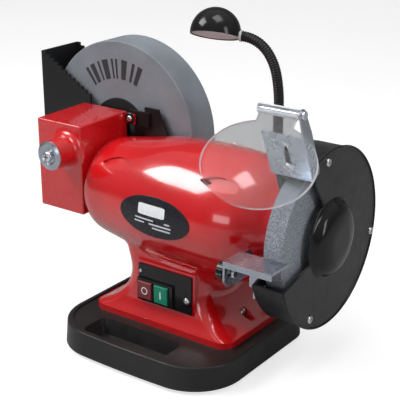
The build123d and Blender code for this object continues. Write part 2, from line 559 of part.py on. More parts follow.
# ---------------------------------------------------------------- gearbox
gearbox_stock = block(BOX_X0, BOX_X1, BOX_Y0, BOX_Y1, BOX_Z0, BOX_Z1)
boss_fillet = 8.0
with BuildPart() as gearbox_housing:
    add(gearbox_stock)
    fillet(gearbox_housing.edges(), 1.6)
    with BuildSketch(WET_PROFILE):
        with BuildLine():
            Line((BOX_Y0 + 1, 0), (BOSS_Y, 0))
            Line((BOSS_Y, 0), (BOSS_Y, BOSS_R - 1))
            Line((BOSS_Y, BOSS_R - 1), (BOSS_Y + 1, BOSS_R))
            Line((BOSS_Y + 1, BOSS_R), (BOX_Y0 - boss_fillet, BOSS_R + 1.5))
            ThreePointArc((BOX_Y0 - boss_fillet, BOSS_R + 1.5), (BOX_Y0 - 2.2, BOSS_R + 3.8),
                          (BOX_Y0, BOSS_R + 9))
            Line((BOX_Y0, BOSS_R + 9), (BOX_Y0 + 1, BOSS_R + 9))
            Line((BOX_Y0 + 1, BOSS_R + 9), (BOX_Y0 + 1, 0))
        make_face()
    revolve(axis=WET_AXIS)
    add(block(BOX_X0 + BOX_WALL, BOX_X1 - BOX_WALL, BOX_Y0 + BOX_WALL, BOX_Y1 - BOX_WALL,
              BOX_Z0 - 1, BOX_Z1 - BOX_WALL), mode=Mode.SUBTRACT)
    add(tube_y(BOX_Y1 - 9, BOX_Y1 - 1, 15))
    add(block(BOX_X1 - 1, BOX_X1 + 12, BOX_Y1 - BOX_WALL, BOX_Y1, 208, BOX_Z1 - 2))
    add(tube_y(BOX_Y0 - 40, BOX_Y1 + 5, 10), mode=Mode.SUBTRACT)
    add(tube_x(BOX_X1 - 5, BOX_X1 + 1, 10), mode=Mode.SUBTRACT)
    add(tube_y(BOX_Y0 + 1, PIN_Y0 + 6, 8, x=IDLER_X, z=IDLER_Z))
    add(tube_y(PIN_Y0, BOX_Y1 + 1, IDLER_PIN_R, x=IDLER_X, z=IDLER_Z), mode=Mode.SUBTRACT)
    add(tube_y(BOX_Y1 - 5, BOX_Y1 + 1, 2.2, x=BOX_X1 + 6, z=214), mode=Mode.SUBTRACT)
    add(tube_y(BOX_Y1 - 5, BOX_Y1 + 1, 2.2, x=-160, z=132), mode=Mode.SUBTRACT)
gearbox_housing.part.label = "gearbox_housing"
export_step(gearbox_housing.part, "parts/gearbox_housing.step")

cover_gap = BOX_WALL + 0.1
with BuildPart() as gearbox_cover:
    add(block(BOX_X0 + cover_gap, BOX_X1 - cover_gap, BOX_Y0 + cover_gap, BOX_Y1 - cover_gap,
              BOX_Z0, BOX_Z0 + 2.5))
gearbox_cover.part.label = "gearbox_cover"
export_step(gearbox_cover.part, "parts/gearbox_cover.step")

BUSH_Y = [(BOSS_Y, -46.0), (BOX_Y1 - 9, BOX_Y1)]
with BuildPart() as shaft_bushes:
    for y0, y1 in BUSH_Y:
        add(tube_y(y0, y1, 10, WET_SHAFT_R + PIN_CLEARANCE))
shaft_bushes.part.label = "shaft_bushes"
export_step(shaft_bushes.part, "parts/shaft_bushes.step")

HUB_T, WET_STUD_R = 6.5, 6.5
WET_Y1 = WET_Y0 + WET_WIDTH
WET_STEPS = [(BOSS_Y - 0.5, WET_SHAFT_R), (WET_Y0 - HUB_T, WET_SHAFT_R), (WET_Y0 - HUB_T, WET_STUD_R),
             (WET_Y1 + 19, WET_STUD_R)]
with BuildPart() as wet_shaft:
    with BuildSketch(WET_PROFILE):
        with BuildLine():
            Polyline((WET_STEPS[0][0], 0), *WET_STEPS, (WET_STEPS[-1][0], 0), close=True)
        make_face()
    revolve(axis=WET_AXIS)
    add(tube_y(BOSS_Y - 1, BOSS_Y + 14, 2.2), mode=Mode.SUBTRACT)
wet_shaft.part.label = "wet_shaft"
export_step(wet_shaft.part, "parts/wet_shaft.step")

with BuildPart() as end_washer:
    with BuildSketch(WET_PROFILE):
        with BuildLine():
            Polyline((BOSS_Y - 0.5, 2.3), (BOSS_Y - 0.5, 15.5), (BOSS_Y - 1.7, 15.5), (BOSS_Y - 3.2, 12.5),
                     (BOSS_Y - 3.2, 9.5), (BOSS_Y - 2.0, 7.5), (BOSS_Y - 2.0, 2.3), close=True)
        make_face()
    revolve(axis=WET_AXIS)
end_washer.part.label = "end_washer"
export_step(end_washer.part, "parts/end_washer.step")

crown_screw = pan_screw(5.4, 4.6, 2.15, 14)
with BuildPart() as end_screw:
    with Locations(outward_y(WET_X, BOSS_Y - 2.0, WET_Z)):
        add(crown_screw)
end_screw.part.label = "end_screw"
export_step(end_screw.part, "parts/end_screw.step")

gear_screw = pan_screw(3.6, 2.6, 2.1, 6.4)
with BuildPart() as tank_screws:
    with Locations(outward_y(BOX_X1 + 6, BOX_Y1 - BOX_WALL, 214), outward_y(-160, BOX_Y1 - BOX_WALL, 132)):
        add(gear_screw)
tank_screws.part.label = "tank_screws"
export_step(tank_screws.part, "parts/tank_screws.step")

# ---------------------------------------------------------------- wet wheel and tank
with BuildPart() as wet_hub_front:
    with BuildSketch(WET_PROFILE):
        with BuildLine():
            Polyline((WET_Y0 - HUB_T, WET_STUD_R), (WET_Y0 - HUB_T, 20), (WET_Y0 - HUB_T + 2, 24),
                     (WET_Y0 - 3, 36.5), (WET_Y0, 36.5), (WET_Y0, 30), (WET_Y0 + 18, 10 - PIN_CLEARANCE),
                     (WET_Y0 + 18, WET_STUD_R), close=True)
        make_face()
    revolve(axis=WET_AXIS)
    add(tube_y(WET_Y0, WET_Y0 + 19, 40, WET_BORE - PIN_CLEARANCE), mode=Mode.SUBTRACT)
wet_hub_front.part.label = "wet_hub_front"
export_step(wet_hub_front.part, "parts/wet_hub_front.step")

with BuildPart() as wet_hub_rear:
    with BuildSketch(WET_PROFILE):
        with BuildLine():
            Polyline((WET_Y1, WET_STUD_R + PIN_CLEARANCE), (WET_Y1, 36.5), (WET_Y1 + 3, 36.5),
                     (WET_Y1 + 6, 20), (WET_Y1 + 6, WET_STUD_R + PIN_CLEARANCE), close=True)
        make_face()
    revolve(axis=WET_AXIS)
wet_hub_rear.part.label = "wet_hub_rear"
export_step(wet_hub_rear.part, "parts/wet_hub_rear.step")

with BuildPart() as wet_wheel:
    add(tube_y(WET_Y0, WET_Y1, WET_RADIUS, WET_BORE))
    chamfer(wet_wheel.edges().filter_by(GeomType.CIRCLE).group_by(SortBy.RADIUS)[-1], 1.0)
wet_wheel.part.label = "wet_wheel"
export_step(wet_wheel.part, "parts/wet_wheel.step")

with BuildPart() as wet_nut:
    with BuildSketch(Plane.XZ.offset(-WET_Y1 - 6)):
        with Locations((WET_X, WET_Z)):
            RegularPolygon(12, 6)
            Circle(WET_STUD_R + PIN_CLEARANCE, mode=Mode.SUBTRACT)
    extrude(amount=-9)
wet_nut.part.label = "wet_nut"
export_step(wet_nut.part, "parts/wet_nut.step")

left_x = WET_X - TANK_R
tank_inner_r = TANK_R - TANK_WALL
LEFT_STEP_X, LEFT_STEP_Z, PANEL_RIGHT, SERRATION_H = -166.0, 226.0, (-70.0, TANK_RIGHT_TOP), 3.6


def tank_outline(plane, inset, top_points):
    """Half-round trough with a high left side, closed along the given top points."""
    r = TANK_R - inset
    right = WET_X + sqrt(r ** 2 - (WET_Z - SLOT_BOTTOM) ** 2)
    middle = radians(-125)
    with BuildSketch(plane) as outline:
        with BuildLine():
            Polyline((right, SLOT_BOTTOM), *top_points, (WET_X - r, WET_Z))
            ThreePointArc((WET_X - r, WET_Z), (WET_X + r * cos(middle), WET_Z + r * sin(middle)),
                          (right, SLOT_BOTTOM))
        make_face()
    return outline.sketch


def diagonal(serrated):
    """The sloping top edge at the left, from the high corner down to the wheel opening."""
    x_high, z_high, x_low, z_low = left_x, TANK_TOP, LEFT_STEP_X, LEFT_STEP_Z
    points = [(x_high, z_high)]
    if serrated:
        for tooth in range(1, SERRATIONS + 1):
            part = tooth / SERRATIONS
            x, z = x_high + part * (x_low - x_high), z_high + part * (z_low - z_high)
            points += [(x, z + SERRATION_H), (x, z)]
    else:
        points.append((x_low, z_low))
    return points


def wall_top(serrated):
    """Top edge of the front or rear wall, from right to left, with the shaft opening."""
    opening = [(WET_X + SLOT_HALF, TANK_RIGHT_TOP), (WET_X + SLOT_HALF, SLOT_BOTTOM + 8),
               (WET_X - SLOT_HALF + 2.5, SLOT_BOTTOM + 8), (LEFT_STEP_X, LEFT_STEP_Z)]
    return [(-57, 199), PANEL_RIGHT] + opening + diagonal(serrated)[::-1][1:]


tank_stock = tank_outline(Plane.XZ.offset(-TANK_Y0), 0, wall_top(True))
inner_right = WET_X + sqrt(tank_inner_r ** 2 - (WET_Z - SLOT_BOTTOM) ** 2)
tank_space = tank_outline(
    Plane.XZ.offset(-TANK_Y0 - TANK_WALL), TANK_WALL,
    [(inner_right + 60, SLOT_BOTTOM), (inner_right + 60, 320), (WET_X - tank_inner_r, 320)])
with BuildPart() as water_tank:
    extrude(tank_stock.face(), amount=TANK_Y1 - TANK_Y0, dir=(0, 1, 0))
    extrude(tank_space.face(), amount=TANK_Y1 - TANK_Y0 - 2 * TANK_WALL, dir=(0, 1, 0), mode=Mode.SUBTRACT)
    add(block(BOX_X1 + 1, WET_X + SLOT_HALF + 8, TANK_Y0 - 3, TANK_Y0, 206, 222))
    for x, z in ((BOX_X1 + 6, 214), (-160, 132)):
        add(tube_y(BOX_Y1, TANK_Y0, 5.5, x=x, z=z))
        add(tube_y(BOX_Y1 - 1, TANK_Y0, 2.1, x=x, z=z), mode=Mode.SUBTRACT)
water_tank.part.label = "water_tank"
export_step(water_tank.part, "parts/water_tank.step")

# ---------------------------------------------------------------- dry wheel and guard
blotter = 0.6
SHOULDER_X, OUTER_FLANGE_T = 133.5, 4.0
with BuildPart() as wheel_flanges:
    for x0, x1 in ((SHOULDER_X, DRY_X0 - blotter),
                   (DRY_X0 + DRY_WIDTH + blotter, DRY_X0 + DRY_WIDTH + OUTER_FLANGE_T)):
        add(tube_x(x0, x1, 25, DRY_BORE))
wheel_flanges.part.label = "wheel_flanges"
export_step(wheel_flanges.part, "parts/wheel_flanges.step")

with BuildPart() as paper_washers:
    for x0 in (DRY_X0 - blotter, DRY_X0 + DRY_WIDTH):
        add(tube_x(x0, x0 + blotter, 27, DRY_BORE))
paper_washers.part.label = "paper_washers"
export_step(paper_washers.part, "parts/paper_washers.step")

with BuildPart() as dry_wheel:
    add(tube_x(DRY_X0, DRY_X0 + DRY_WIDTH, DRY_RADIUS, DRY_BORE))
    chamfer(dry_wheel.edges().filter_by(GeomType.CIRCLE).group_by(SortBy.RADIUS)[-1], 0.8)
dry_wheel.part.label = "dry_wheel"
export_step(dry_wheel.part, "parts/dry_wheel.step")

nut_x = DRY_X0 + DRY_WIDTH + OUTER_FLANGE_T
with BuildPart() as dry_nut:
    with BuildSketch(Plane.YZ.offset(nut_x)):
        with Locations((0, AXIS_Z)):
            RegularPolygon(10.5, 6)
            Circle(DRY_BORE, mode=Mode.SUBTRACT)
    extrude(amount=8)
dry_nut.part.label = "dry_nut"
export_step(dry_nut.part, "parts/dry_nut.step")

SHELL_OPENING = [(-36, -11.5), (-120, -38), (-120, 120), (-68.2, 119.7), (-30, 29.5)]
with BuildPart() as opening_wedge:
    with BuildSketch(Plane.YZ.offset(GUARD_X0 - 5)):
        with Locations((0, AXIS_Z)):
            Polygon(*SHELL_OPENING, align=None)
    extrude(amount=40)

GUARD_SHEET = 2.0
with BuildPart() as guard_tab:
    with BuildSketch(DEFLECTOR.offset(-SHEET - 0.1)):
        with Locations((-1.5, 10)):
            RectangleRounded(26, 32, 3)
    extrude(amount=-2.5)
    with BuildSketch(DEFLECTOR.offset(-SHEET - 0.1)):
        with Locations((0.5, 12)):
            Circle(2.6)
    extrude(amount=-2.5, mode=Mode.SUBTRACT)

BRACKET_SCREWS = [(-72, 114), (-64, 114)]
with BuildPart() as guard_shell:
    add(tube_x(GUARD_X0, GUARD_X0 + GUARD_SHEET, GUARD_R))
    add(tube_x(GUARD_X0, GUARD_X1, GUARD_R, GUARD_R - GUARD_SHEET))
    for y, z in COVER_SCREWS:
        add(tube_x(GUARD_X0, GUARD_X1, 4.2, y=y, z=AXIS_Z + z))
    add(opening_wedge.part, mode=Mode.SUBTRACT)
    add(guard_tab.part)
    add(tube_x(GUARD_X0 - 1, GUARD_X0 + 3, 20), mode=Mode.SUBTRACT)
    for y, z in COVER_SCREWS:
        add(tube_x(GUARD_X1 - 14, GUARD_X1 + 1, 1.9, y=y, z=AXIS_Z + z), mode=Mode.SUBTRACT)
    for y, z in guard_bolts + BRACKET_SCREWS:
        add(tube_x(GUARD_X0 - 1, GUARD_X0 + 3, CLEARANCE_R, y=y, z=z), mode=Mode.SUBTRACT)
guard_shell.part.label = "guard_shell"
export_step(guard_shell.part, "parts/guard_shell.step")

COVER_OPENING = [(-39.9, -14.3), (-84, -25), (-120, -34), (-120, 130), (-51, 100), (-35, 63), (-17, 38.7),
                 (-27, 32.5), (-35, 23.7), (-40.2, 13), (-42.2, 1), (-42, -6)]
with BuildPart() as cover_wedge:
    with BuildSketch(Plane.YZ.offset(GUARD_X1 - 1)):
        with Locations((0, AXIS_Z)):
            Polygon(*COVER_OPENING, align=None)
    extrude(amount=COVER_T + 2)

with BuildPart() as guard_dome:
    with BuildSketch(SHAFT_PROFILE):
        with BuildLine():
            x = GUARD_X1
            Polyline((x, DOME_R - 3), (x, DOME_R), (x + COVER_T, DOME_R))
            Spline((x + COVER_T, DOME_R), (x + 8, 34), (x + DOME_H + 1, 22), (x + DOME_H + 2, 0),
                   tangents=((0.3, -1), (0, -1)))
            Line((x + DOME_H + 2, 0), (x + DOME_H, 0))
            Spline((x + DOME_H, 0), (x + DOME_H - 1, 20), (x + 6.5, 31.5), (x + COVER_T, DOME_R - 3),
                   tangents=((0, 1), (-0.3, 1)))
            Line((x + COVER_T, DOME_R - 3), (x, DOME_R - 3))
        make_face()
    revolve(axis=SHAFT_AXIS)

with BuildPart() as guard_cover:
    add(tube_x(GUARD_X1, GUARD_X1 + COVER_T, GUARD_R + 1, DOME_R - 1))
    add(cover_wedge.part, mode=Mode.SUBTRACT)
    add(guard_dome.part)
    for y, z in COVER_SCREWS:
        add(tube_x(GUARD_X1 - 1, GUARD_X1 + 5, 2.2, y=y, z=AXIS_Z + z), mode=Mode.SUBTRACT)
guard_cover.part.label = "guard_cover"
export_step(guard_cover.part, "parts/guard_cover.step")

sheet_screw = pan_screw(4.0, 2.4, 1.85, 12)
with BuildPart() as cover_screws:
    with Locations(*[outward_x(GUARD_X1 + COVER_T, y, AXIS_Z + z) for y, z in COVER_SCREWS]):
        add(sheet_screw)
cover_screws.part.label = "cover_screws"
export_step(cover_screws.part, "parts/cover_screws.step")

# ---------------------------------------------------------------- spark deflector and eye shield
hinge_local = DEFLECTOR.to_local_coords(Vector(DEFLECTOR_X, HINGE_Y, HINGE_Z))
flange_x = DEFLECTOR_W / 2 - SHEET
SIDE = Plane(origin=DEFLECTOR.from_local_coords(Vector(flange_x, 0, 0)),
             x_dir=DEFLECTOR.y_dir, z_dir=(1, 0, 0))
lug_y = SIDE.to_local_coords(Vector(DEFLECTOR_X + flange_x, HINGE_Y, HINGE_Z)).Y
back = 1 if lug_y > 0 else -1
SLOT_LOW, SLOT_HIGH, SLOT_HALF_W = 12.0, 37.0, 2.8
with BuildPart() as spark_deflector:
    with BuildSketch(DEFLECTOR):
        with Locations((0, DEFLECTOR_L / 2)):
            Rectangle(DEFLECTOR_W, DEFLECTOR_L)
        with Locations((0.5, (SLOT_LOW + SLOT_HIGH) / 2)):
            SlotCenterToCenter(SLOT_HIGH - SLOT_LOW, 2 * SLOT_HALF_W, rotation=90, mode=Mode.SUBTRACT)
    extrude(amount=-SHEET)
    with BuildSketch(SIDE):
        with BuildLine():
            Polyline((0, 0), (0, back * 12), (4, back * 14), (DEFLECTOR_L - 2, back * 14),
                     (hinge_local.Y + 3.5, lug_y + back * 4.2), (hinge_local.Y + 5, lug_y),
                     (hinge_local.Y + 3.5, lug_y - back * 4.2), (DEFLECTOR_L, 0), close=True)
        make_face()
        with Locations((hinge_local.Y, lug_y)):
            Circle(HINGE_ROD_R + PIN_CLEARANCE, mode=Mode.SUBTRACT)
    extrude(amount=SHEET)
spark_deflector.part.label = "spark_deflector"
export_step(spark_deflector.part, "parts/spark_deflector.step")

clamp_screw = pan_screw(5.0, 3.0, 2.45, 12)
wing_nut = DEFLECTOR.offset(-SHEET - 2.6)
with BuildPart() as deflector_screw:
    with Locations(Plane(origin=DEFLECTOR.from_local_coords(Vector(0.5, SLOT_LOW, 0.05)),
                         x_dir=DEFLECTOR.x_dir, z_dir=DEFLECTOR.z_dir)):
        add(clamp_screw)
    with BuildSketch(wing_nut):
        with Locations((0.5, SLOT_LOW)):
            RegularPolygon(4.6, 6)
            Circle(2.4, mode=Mode.SUBTRACT)
    extrude(amount=-4)
deflector_screw.part.label = "deflector_screw"
export_step(deflector_screw.part, "parts/deflector_screw.step")

rod_end = DEFLECTOR_X + DEFLECTOR_W / 2
with BuildPart() as hinge_rod:
    add(tube_x(HINGE_X0 - 1.5, rod_end + 2.5, HINGE_ROD_R, y=HINGE_Y, z=HINGE_Z))
    add(tube_x(rod_end + 0.02, rod_end + 2.5, 4.0, y=HINGE_Y, z=HINGE_Z))
    fillet(hinge_rod.edges().group_by(Axis.X)[-1], 0.9)
hinge_rod.part.label = "hinge_rod"
export_step(hinge_rod.part, "parts/hinge_rod.step")

barrel_r = 4.8
with BuildPart() as eye_shield:
    with BuildSketch(SHIELD):
        with Locations((0, -SHIELD_DROP)):
            Ellipse(SHIELD_HALF_W, SHIELD_HALF_H)
        with Locations(((HINGE_X0 + HINGE_X1) / 2 - SHIELD_CENTRE_X, -SHIELD_DROP / 2)):
            Rectangle(HINGE_X1 - HINGE_X0 - 4, SHIELD_DROP)
    extrude(amount=SHIELD_T / 2, both=True)
    add(tube_x(HINGE_X0, HINGE_X1, barrel_r, y=HINGE_Y, z=HINGE_Z))
    add(tube_x(HINGE_X0 - 1, HINGE_X1 + 1, HINGE_ROD_R + PIN_CLEARANCE, y=HINGE_Y, z=HINGE_Z),
        mode=Mode.SUBTRACT)
eye_shield.part.label = "eye_shield"
export_step(eye_shield.part, "parts/eye_shield.step")

# ---------------------------------------------------------------- tool rest
FLANGE_T, LIP_H = 2.0, 6.0
with BuildPart() as tool_rest:
    with BuildSketch(Plane.XY.offset(REST_TOP - FLANGE_T)):
        with Locations(((REST_X0 + REST_X1) / 2, (REST_Y0 + REST_Y1) / 2)):
            Rectangle(REST_X1 - REST_X0, REST_Y1 - REST_Y0)
    extrude(amount=FLANGE_T)
    add(block(REST_X0, REST_X1, REST_Y0, REST_Y0 + FLANGE_T, REST_TOP - LIP_H, REST_TOP - FLANGE_T))
    with BuildSketch(Plane.YZ.offset(REST_X0)):
        with BuildLine():
            Polyline((REST_Y0, REST_TOP - FLANGE_T), (REST_Y0, 130), (REST_Y0 + 7, 123), (-64, 123),
                     (-64, REST_TOP - 12), (REST_Y1 + 2, REST_TOP - FLANGE_T), close=True)
        make_face()
        with Locations(((KNOB_Y + GUIDE_Y) / 2 - 2, KNOB_Z)):
            SlotCenterToCenter(24, 5.4, mode=Mode.SUBTRACT)
    extrude(amount=FLANGE_T)
tool_rest.part.label = "tool_rest"
export_step(tool_rest.part, "parts/tool_rest.step")

ARM_T, ARM_GAP = 2.0, 0.3
arm_x0, arm_x1 = REST_X0 - ARM_GAP - ARM_T, REST_X0 - ARM_GAP
with BuildPart() as rest_bracket:
    with BuildSketch(Plane.YZ.offset(arm_x0)):
        with BuildLine():
            Polyline((-102, 141), (-102, 126), (-97, 120), (-58, 120), (-58, 106), (-56, 106),
                     (-56, 141), (-62, 146), (-97, 146), close=True)
        make_face()
        with Locations((KNOB_Y, KNOB_Z)):
            Circle(2.5, mode=Mode.SUBTRACT)
    extrude(amount=ARM_T)
    add(block(arm_x0, GUARD_X0, -58, -56, 106, 122))
    add(block(GUARD_X0 - ARM_T, GUARD_X0, -78, -58, 106, 122))
    add(block(arm_x0, arm_x1, -58, -56, 106, 141))
    for y, z in BRACKET_SCREWS:
        add(tube_x(GUARD_X0 - 5, GUARD_X0 + 1, 2.2, y=y, z=z), mode=Mode.SUBTRACT)
rest_bracket.part.label = "rest_bracket"
export_step(rest_bracket.part, "parts/rest_bracket.step")

knob_x1 = arm_x0 - ARM_GAP
with BuildPart() as rest_knob:
    with BuildSketch(Plane.YZ.offset(knob_x1 - 9)):
        with Locations((KNOB_Y, KNOB_Z)):
            Circle(9.0)
            with PolarLocations(9.3, 12):
                Circle(1.3, mode=Mode.SUBTRACT)
    extrude(amount=7)
    add(tube_x(knob_x1 - 2, knob_x1, 6.5, y=KNOB_Y, z=KNOB_Z))
    fillet(rest_knob.edges().group_by(Axis.X)[0], 0.8)
    add(tube_x(knob_x1 - 6, knob_x1 + 1, 2.4, y=KNOB_Y, z=KNOB_Z), mode=Mode.SUBTRACT)
rest_knob.part.label = "rest_knob"
export_step(rest_knob.part, "parts/rest_knob.step")

with BuildPart() as rest_bolt:
    add(tube_x(knob_x1 - 6, REST_X0 + 2.2, 2.4, y=KNOB_Y, z=KNOB_Z))
    add(tube_x(REST_X0 + 2.3, REST_X0 + 5.5, 4.6, y=KNOB_Y, z=KNOB_Z))
    add(tube_x(REST_X0 + 2.1, REST_X0 + 2.4, 2.4, y=KNOB_Y, z=KNOB_Z))
    fillet(rest_bolt.edges().group_by(Axis.X)[-1], 1.6)
rest_bolt.part.label = "rest_bolt"
export_step(rest_bolt.part, "parts/rest_bolt.step")

# the longer screws reach through the housing wall into the motor's end bracket
guard_bolt, arm_bolt = pan_screw(3.6, 2.0, 2.1, 13), pan_screw(3.6, 2.0, 2.1, ARM_T + GUARD_SHEET + 1.5)
with BuildPart() as guard_mount_screws:
    with Locations(*[outward_x(GUARD_X0 + GUARD_SHEET, y, z) for y, z in guard_bolts]):
        add(guard_bolt)
    with Locations(*[outward_x(GUARD_X0 - ARM_T, y, z, -1) for y, z in BRACKET_SCREWS]):
        add(arm_bolt)
guard_mount_screws.part.label = "guard_mount_screws"
export_step(guard_mount_screws.part, "parts/guard_mount_screws.step")

# ---------------------------------------------------------------- switch
with BuildPart() as switch_plate:
    add(block(PANEL_X0, PANEL_X1, PANEL_Y, PANEL_Y + 2, PANEL_Z0, PANEL_Z1))
    add(block(PANEL_X0, PANEL_X1 - 22, PANEL_Y - 2.5, PANEL_Y, PANEL_Z0 + 1.5, PANEL_Z0 + 26))
    for x in BUTTON_XS:
        add(block(x - BUTTON_W / 2 - BUTTON_GAP, x + BUTTON_W / 2 + BUTTON_GAP, PANEL_Y - 5, PANEL_Y + 5,
                  BUTTON_Z - BUTTON_H / 2 - BUTTON_GAP, BUTTON_Z + BUTTON_H / 2 + BUTTON_GAP),
            mode=Mode.SUBTRACT)
    add(tube_y(PANEL_Y - 5, PANEL_Y + 5, 1.8, x=BIG_SCREW_X, z=BIG_SCREW_Z), mode=Mode.SUBTRACT)
    add(tube_y(PANEL_Y - 5, PANEL_Y + 5, 1.4, x=SMALL_SCREW_X, z=SMALL_SCREW_Z), mode=Mode.SUBTRACT)
switch_plate.part.label = "switch_plate"
export_step(switch_plate.part, "parts/switch_plate.step")

with BuildPart() as switch_body:
    add(block(PANEL_X0 + 7, PANEL_X1 - 23, PANEL_Y + 12, PANEL_Y + 34, PANEL_Z0 + 5.5, PANEL_Z0 + 24.5))
    add(block(PANEL_X0 + 7, PANEL_X1 - 23, PANEL_Y + 2, PANEL_Y + 12, PANEL_Z0 + 5.5, PANEL_Z0 + 24.5))
    for x in BUTTON_XS:
        add(block(x - 5.3, x + 5.3, PANEL_Y + 1, PANEL_Y + 12, BUTTON_Z - 7.3, BUTTON_Z + 7.3),
            mode=Mode.SUBTRACT)
switch_body.part.label = "switch_body"
export_step(switch_body.part, "parts/switch_body.step")

BUTTON_OUT, STEM_HALF_W, STEM_HALF_H = 5.0, 5.0, 7.0


def push_button(x):
    """A cap that stands proud of the plate, on a stem that runs into the switch body."""
    with BuildPart() as button:
        add(block(x - BUTTON_W / 2, x + BUTTON_W / 2, PANEL_Y - BUTTON_OUT, PANEL_Y - 1.0,
                  BUTTON_Z - BUTTON_H / 2, BUTTON_Z + BUTTON_H / 2))
        fillet(button.edges().group_by(Axis.Y)[0], 0.9)
        add(block(x - STEM_HALF_W, x + STEM_HALF_W, PANEL_Y - 1.2, PANEL_Y + 6,
                  BUTTON_Z - STEM_HALF_H, BUTTON_Z + STEM_HALF_H))
    return button.part


with BuildPart() as button_off:
    add(push_button(BUTTON_XS[0]))
button_off.part.label = "button_off"
export_step(button_off.part, "parts/button_off.step")

with BuildPart() as button_on:
    add(push_button(BUTTON_XS[1]))
button_on.part.label = "button_on"
export_step(button_on.part, "parts/button_on.step")

panel_screw, small_screw = pan_screw(3.4, 2.2, 1.45, 4.6), pan_screw(1.9, 1.3, 1.15, 4.6)
with BuildPart() as switch_screws:
    with Locations(outward_y(BIG_SCREW_X, PANEL_Y, BIG_SCREW_Z)):
        add(panel_screw)
    with Locations(outward_y(SMALL_SCREW_X, PANEL_Y, SMALL_SCREW_Z)):
        add(small_screw)
switch_screws.part.label = "switch_screws"
export_step(switch_screws.part, "parts/switch_screws.step")

with BuildPart() as capacitor:
    add(tube_x(-30, 26, 15, y=14, z=60))
    fillet(capacitor.edges(), 1.5)
capacitor.part.label = "capacitor"
export_step(capacitor.part, "parts/capacitor.step")

GLAND_NUT_Y, GLAND_CAP_Y, GLAND_CAP_R = 52.5, 57.5, 7.5
with BuildPart() as cable_gland:
    add(tube_y(GLAND_Y0, GLAND_CAP_Y + 2, GLAND_R, x=GLAND_X, z=GLAND_Z))
    with BuildSketch(Plane.XZ.offset(-GLAND_NUT_Y)):
        with Locations((GLAND_X, GLAND_Z)):
            RegularPolygon(9.5, 6)
    extrude(amount=GLAND_NUT_Y - GLAND_CAP_Y)
    with BuildSketch(Plane.XZ.offset(-GLAND_CAP_Y)):
        with Locations((GLAND_X, GLAND_Z)):
            Circle(GLAND_CAP_R)
    extrude(amount=GLAND_CAP_Y - GLAND_Y1, taper=8)
    add(tube_y(GLAND_Y0 - 1, GLAND_Y1 + 1, GLAND_BORE, x=GLAND_X, z=GLAND_Z), mode=Mode.SUBTRACT)
cable_gland.part.label = "cable_gland"
export_step(cable_gland.part, "parts/cable_gland.step")

# ---------------------------------------------------------------- lamp
BALL_GAP = 0.35
with BuildPart() as lamp_socket:
    add(tube_z(LAMP_X, LAMP_Y, 195, LAMP_FOOT_Z, 10.5))
    chamfer(lamp_socket.edges().group_by(Axis.Z)[-1], 1.5)
    add(barrel_outer, mode=Mode.SUBTRACT)
    add(tube_z(LAMP_X, LAMP_Y, 192, 212, 5.95))
lamp_socket.part.label = "lamp_socket"
export_step(lamp_socket.part, "parts/lamp_socket.step")

cup_depth = NECK_R + BALL_GAP
with BuildPart() as neck_lower:
    with Locations((LAMP_X, LAMP_Y, LEAN_Z)):
        Sphere(NECK_R)
    add(tube_z(LAMP_X, LAMP_Y, LEAN_Z, BEND_Z - cup_depth, NECK_R))
neck_lower.part.label = "neck_lower"
export_step(neck_lower.part, "parts/neck_lower.step")

with BuildPart() as neck_upper:
    with BuildLine(NECK):
        start, heading, turned = (0, BEND_Z), (0, 1), 0.0
        for radius, turn in NECK_ARCS:
            arc = JernArc(start, heading, radius, -turn)
            turned += turn
            start = NECK.to_local_coords(arc @ 1).X, NECK.to_local_coords(arc @ 1).Y
            heading = (sin(radians(turned)), cos(radians(turned)))
    neck_end = NECK.from_local_coords(Vector(start[0], start[1], 0))
    neck_way = Vector(NECK.x_dir * heading[0] + Vector(0, 0, 1) * heading[1])
    with BuildSketch(Plane(origin=(LAMP_X, LAMP_Y, BEND_Z), z_dir=(0, 0, 1))):
        Circle(NECK_R)
    sweep()
    with Locations((LAMP_X, LAMP_Y, BEND_Z)):
        Sphere(NECK_R)
neck_upper.part.label = "neck_upper"
export_step(neck_upper.part, "parts/neck_upper.step")

COLLAR_L = 2.4
SHADE_STANDOFF = 0.8
shade_centre = neck_end + neck_way * (SHADE_R + COLLAR_L + SHADE_STANDOFF)
collar_plane = Plane(origin=neck_end, z_dir=neck_way)
with BuildPart() as lamp_collar:
    with BuildSketch(collar_plane):
        Circle(5.6)
    extrude(amount=COLLAR_L)
    fillet(lamp_collar.edges(), 0.5)
lamp_collar.part.label = "lamp_collar"
export_step(lamp_collar.part, "parts/lamp_collar.step")

MOUTH = SHADE_R * 0.12            # the shade's mouth lies a little past the middle of its ball
SHADE = Plane(origin=shade_centre, x_dir=(1, 0, 0.108), z_dir=SHADE_AXIS)
with BuildPart() as shade_ball:
    with BuildSketch(collar_plane.offset(COLLAR_L)):
        Circle(6.2)
    extrude(amount=6)
    with Locations(shade_centre):
        Sphere(SHADE_R)
with BuildPart() as lamp_shade:
    add(shade_ball.part)
    with BuildSketch(SHADE.offset(MOUTH)):
        Circle(60)
    extrude(amount=40, mode=Mode.SUBTRACT)
    with Locations(shade_centre):
        Sphere(SHADE_R - SHADE_T, mode=Mode.SUBTRACT)
lamp_shade.part.label = "lamp_shade"
export_step(lamp_shade.part, "parts/lamp_shade.step")

with BuildPart() as lamp_lens:
    with BuildSketch(SHADE.offset(MOUTH - 2.4)):
        Circle(SHADE_R - SHADE_T - 0.3)
    extrude(amount=1.6)
lamp_lens.part.label = "lamp_lens"
export_step(lamp_lens.part, "parts/lamp_lens.step")
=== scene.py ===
"""Looks of the bench grinder: materials, printed marks, ribbed neck, floor, lights and camera."""

import json
import math

import bpy
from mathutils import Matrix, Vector
from mathutils.bvhtree import BVHTree


